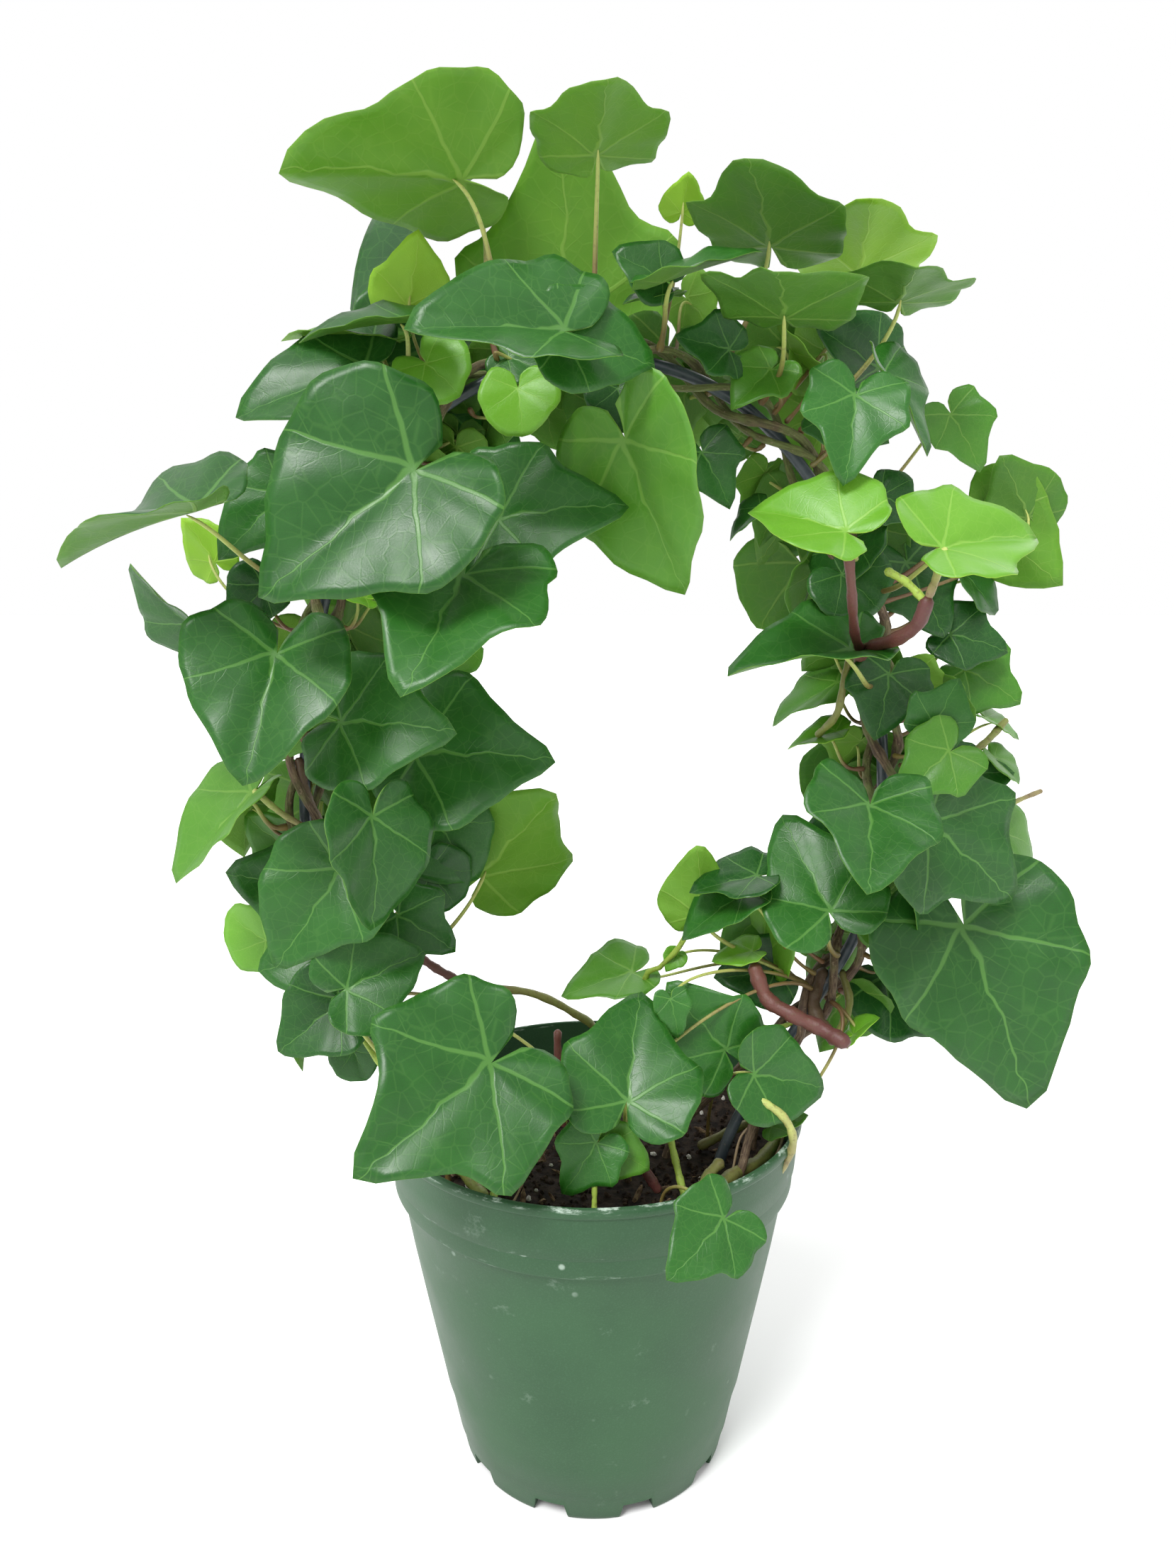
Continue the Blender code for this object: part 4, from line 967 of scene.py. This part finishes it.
class Leaf:
    """Where one leaf sits: hub, midrib, faces and the course of its stalk."""

    def __init__(self, name, hub, tip, outline, upper, fold, finish, start=None):
        self.name, self.outline, self.fold, self.finish, self.start = name, outline, fold, finish, start
        self.hub = hub
        self.length = float(np.linalg.norm(tip - hub))
        self.mid = unit(tip - hub)
        self.turn_to(upper)
        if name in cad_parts:
            self.seat(np.array([v.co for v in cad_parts[name].data.vertices]))
        self.base, self.out = self.stalk_start()

    def turn_to(self, upper):
        """Turns the blade about its midrib until its upper side faces that way."""
        upper = np.array(upper)
        self.face = unit(upper - upper.dot(self.mid) * self.mid)
        self.side = np.cross(self.face, self.mid)

    def seat(self, solid):
        """Moves the leaf along the line to the front point, and resizes it, until it fits its solid."""
        def miss(way):
            hub = self.hub + unit(FRONT - self.hub) * way[0]
            tip = hub + (self.mid - self.face * DROOP) * self.length * way[1]
            return sum(np.linalg.norm(solid - p, axis=1).min() for p in (hub, tip))

        nearer, size = min(((d * MM, s) for d in range(-30, 31) for s in (1.0, 0.88, 0.76, 0.64)), key=miss)
        self.hub = self.hub + unit(FRONT - self.hub) * nearer
        self.length *= size

    def stalk_start(self):
        if self.start:
            return np.array([self.start[0] * MM, self.start[1] * MM, SOIL_Z + 0.0005]), np.array([0, 0, 1.0])
        low = self.hub - (0, 0, 0.014)
        near = int(np.argmin(np.linalg.norm(hoop_route[FIRST + STALK_MARGIN:LAST - STALK_MARGIN] - low,
                                         axis=1))) + FIRST + STALK_MARGIN
        gap = self.hub - hoop_route[near]
        out = unit(gap - gap.dot(tangents[near]) * tangents[near])
        return hoop_route[near] + out * PETIOLE_LIFT, out

    def stalk(self):
        end = self.hub + self.mid * 0.003 - self.face * 0.0008
        span = np.linalg.norm(end - self.base)
        first = self.base + self.out * span * 0.45
        last = end - (self.mid * 0.35 + self.face * 0.3) * span * 0.6
        start = self.base - self.out * (0.0022 if not self.start else 0.004)
        route = [start]
        for t in np.linspace(0, 1, STALK_POINTS):
            route.append(((1 - t) ** 3) * self.base + 3 * (1 - t) ** 2 * t * first
                         + 3 * (1 - t) * t * t * last + t ** 3 * end)
        return route


OUTLINE_CURVES = {}
for kind, rows in OUTLINES.items():
    fine = np.arange(0, 181, 1.0)
    reach = np.interp(fine, [r[0] for r in rows], [r[1] for r in rows])
    full = np.concatenate([reach[::-1][:-1], reach])
    soft = np.convolve(np.pad(full, 5, mode='edge'), np.ones(11) / 11, mode='valid')
    OUTLINE_CURVES[kind] = soft

BLADE_T = 0.00042


def make_leaf(leaf, rng, columns=52, rings=10, nodes=()):
    """Blade with sunken veins and a wavy margin, plus its stalk, as one piece."""
    finest = np.arange(-180, 181, 1.0)
    wave = [rng.uniform(-1, 1) for _ in range(8)]
    C, R = columns, rings
    theta = np.radians(NOTCH) * (2 * np.arange(C + 1) / C - 1)
    share = (np.arange(R + 1) / R) ** 0.9
    reach = np.interp(np.degrees(theta), finest, OUTLINE_CURVES[leaf.outline])
    reach = reach * (1 + 0.035 * np.sin(3 * theta + 3 * wave[0]) + 0.022 * np.sin(7 * theta + 3 * wave[1])
                     + 0.012 * np.sin(13 * theta + 3 * wave[2]))
    T, S = np.meshgrid(theta, share, indexing="ij")
    A = S * reach[:, None] * np.cos(T)
    B = S * reach[:, None] * np.sin(T)
    own = T - np.round(T / VEIN_FAN) * VEIN_FAN
    beside = np.abs(S * reach[:, None] * np.sin(own))
    off = leaf.fold * np.abs(B) * (1 - 0.45 * np.abs(B)) - DROOP * A * np.abs(A)
    off += 0.030 * S ** 2 * np.sin(3 * T + 3 * wave[5])
    off += 0.012 * (1 - np.exp(-(beside / 0.07) ** 2)) * np.minimum(1, 3 * S) - 0.006
    off += 0.018 * S ** 3 * np.sin(9 * T + 3 * wave[3]) + 0.012 * S ** 2 * np.sin(2 * T + 3 * wave[4])
    P = leaf.hub + leaf.length * (A[..., None] * leaf.mid + B[..., None] * leaf.side
                                  + off[..., None] * leaf.face)
    dr = np.gradient(P, axis=1)
    dc = np.gradient(P, axis=0)
    N = np.cross(dr, dc)
    N[:, 0] = leaf.face
    N /= np.linalg.norm(N, axis=2)[..., None] + 1e-12
    taper = (1 - 0.55 * S ** 4)[..., None] * BLADE_T / 2
    verts, uv, margin = [], [], []
    # painted shade: leaves further back (larger y) get a lower value, added to a random one
    shade = min(1.0, max(0.0, 0.15 + 0.6 * rng.random() - 4.5 * leaf.hub[1]))
    for sign in (1, -1):
        verts.append(P[0, 0] + sign * leaf.face * BLADE_T / 2)
        uv.append((0.5, 0.5))
        margin.append(0.0)
        for c in range(C + 1):
            for r in range(1, R + 1):
                verts.append(P[c, r] + sign * N[c, r] * taper[c, r])
                uv.append((0.5 + A[c, r] / 2, 0.5 + B[c, r] / 2))
                margin.append(share[r])
    faces, slots = [], []
    half = 1 + (C + 1) * R

    def at(c, r, back):
        return back * half + (0 if r == 0 else 1 + c * R + r - 1)

    for back in (0, 1):
        for c in range(C):
            for r in range(R):
                ring = [at(c, r, back), at(c, r + 1, back), at(c + 1, r + 1, back), at(c + 1, r, back)]
                if r == 0:
                    ring = ring[:3]
                faces.append(tuple(ring if not back else ring[::-1]))
                slots.append(back)
    for c in range(C):
        faces.append((at(c, R, 0), at(c, R, 1), at(c + 1, R, 1), at(c + 1, R, 0)))
        slots.append(1)
    for c, order in ((0, 1), (C, -1)):
        for r in range(R):
            ring = [at(c, r, 0), at(c, r, 1), at(c, r + 1, 1), at(c, r + 1, 0)]
            faces.append(tuple(ring[::order]))
            slots.append(1)
    along = [0.0] * len(verts)
    route = leaf.stalk()
    thin = 0.85 if leaf.length > 0.03 else 0.62
    radii = [PETIOLE_R * thin * (1.15 - 0.45 * k / (len(route) - 1)) for k in range(len(route))]
    radii[-1] *= 0.4
    radii[-2] *= 0.75
    radii[0] *= 1.35
    radii[1] *= 1.3
    more, tube, way, _ = sweep(route, radii, 8)
    base = len(verts)
    verts += more
    faces += [tuple(i + base for i in f) for f in tube]
    slots += [2] * len(tube)
    uv += [(0.5, 0.5)] * len(more)
    margin += [0.0] * len(more)
    along += list(way)
    tone_and_depth_shade = [shade] * len(verts)
    top, back = LEAF_FINISHES[leaf.finish]
    obj = add_mesh("ivy_" + leaf.name, verts, faces, [top, back, STALK], slots, uv,
                   {"tone_and_depth_shade": tone_and_depth_shade, "margin": margin, "along": along})
    return belongs(obj, "leaf_young" if leaf.finish == "young" else "leaf", *nodes)


rng = random.Random(815)
for name, hub, tip, ahead, tip_ahead, outline, facing, fold, finish, start in LEAVES:
    make_leaf(Leaf(name, ahead_of(hub, ahead), ahead_of(tip, tip_ahead), outline, FACINGS[facing], fold,
                   finish, start), rng, nodes=(name,))
for number, (hub, tip, ahead, tip_ahead, outline, facing, finish) in enumerate(SMALL_LEAVES):
    leaf = Leaf("leaflet_%02d" % (number + 1), ahead_of(hub, ahead), ahead_of(tip, tip_ahead), outline,
                FACINGS[facing], 0.22, finish)
    make_leaf(leaf, rng, columns=36, rings=7)

FILLERS = 66
FILLER_MARGIN = 14    # stations at each end of the wreath that stay bare
for number in range(FILLERS):    # leaves in the body of the wreath, facing outward and up
    share = (number + rng.random()) / FILLERS
    at, a, f = hoop_frame(FIRST + FILLER_MARGIN + (LAST - FIRST - 2 * FILLER_MARGIN) * share)
    w = math.radians(rng.uniform(15, 165))
    inner = w > math.radians(105)
    out = math.cos(w) * a + math.sin(w) * f
    hub = at + out * rng.uniform(0.011, 0.017 if inner else 0.028)
    size = rng.uniform(0.017, 0.023) if inner else rng.uniform(0.021, 0.034)
    lean = np.array([rng.uniform(-1, 1) for _ in range(3)])
    tip = hub + size * unit(out * 0.5 - np.array((0, 0, 0.7)) + lean[::-1] * 0.5)
    upper = out * 0.8 + np.array((0, 0, 0.5)) + lean * 0.35
    outline = rng.choice(("spade", "lobed", "spade"))
    finish = rng.choice(("deep", "deep", "deep", "pale"))
    leaf = Leaf("filler_%02d" % (number + 1), hub, tip, outline, upper, 0.25, finish)
    make_leaf(leaf, rng, columns=32, rings=6)

for number, (kind, radius, points) in enumerate(STRANDS):
    route, _ = smooth_route([ahead_of((x, z), ahead) for x, z, ahead in points], max(16, 7 * len(points)))
    wave = [1 + 0.09 * math.sin(k * 0.9 + number) + 0.05 * math.sin(k * 2.3) for k in range(len(route))]
    radii = [radius * w * MM for w in wave]
    verts, faces, along, _ = sweep(route, radii, 10)
    shoot = add_mesh("shoot_%02d" % (number + 1), verts, faces, [SHOOTS[kind]], attributes={"along": along})
    belongs(shoot, "stem")
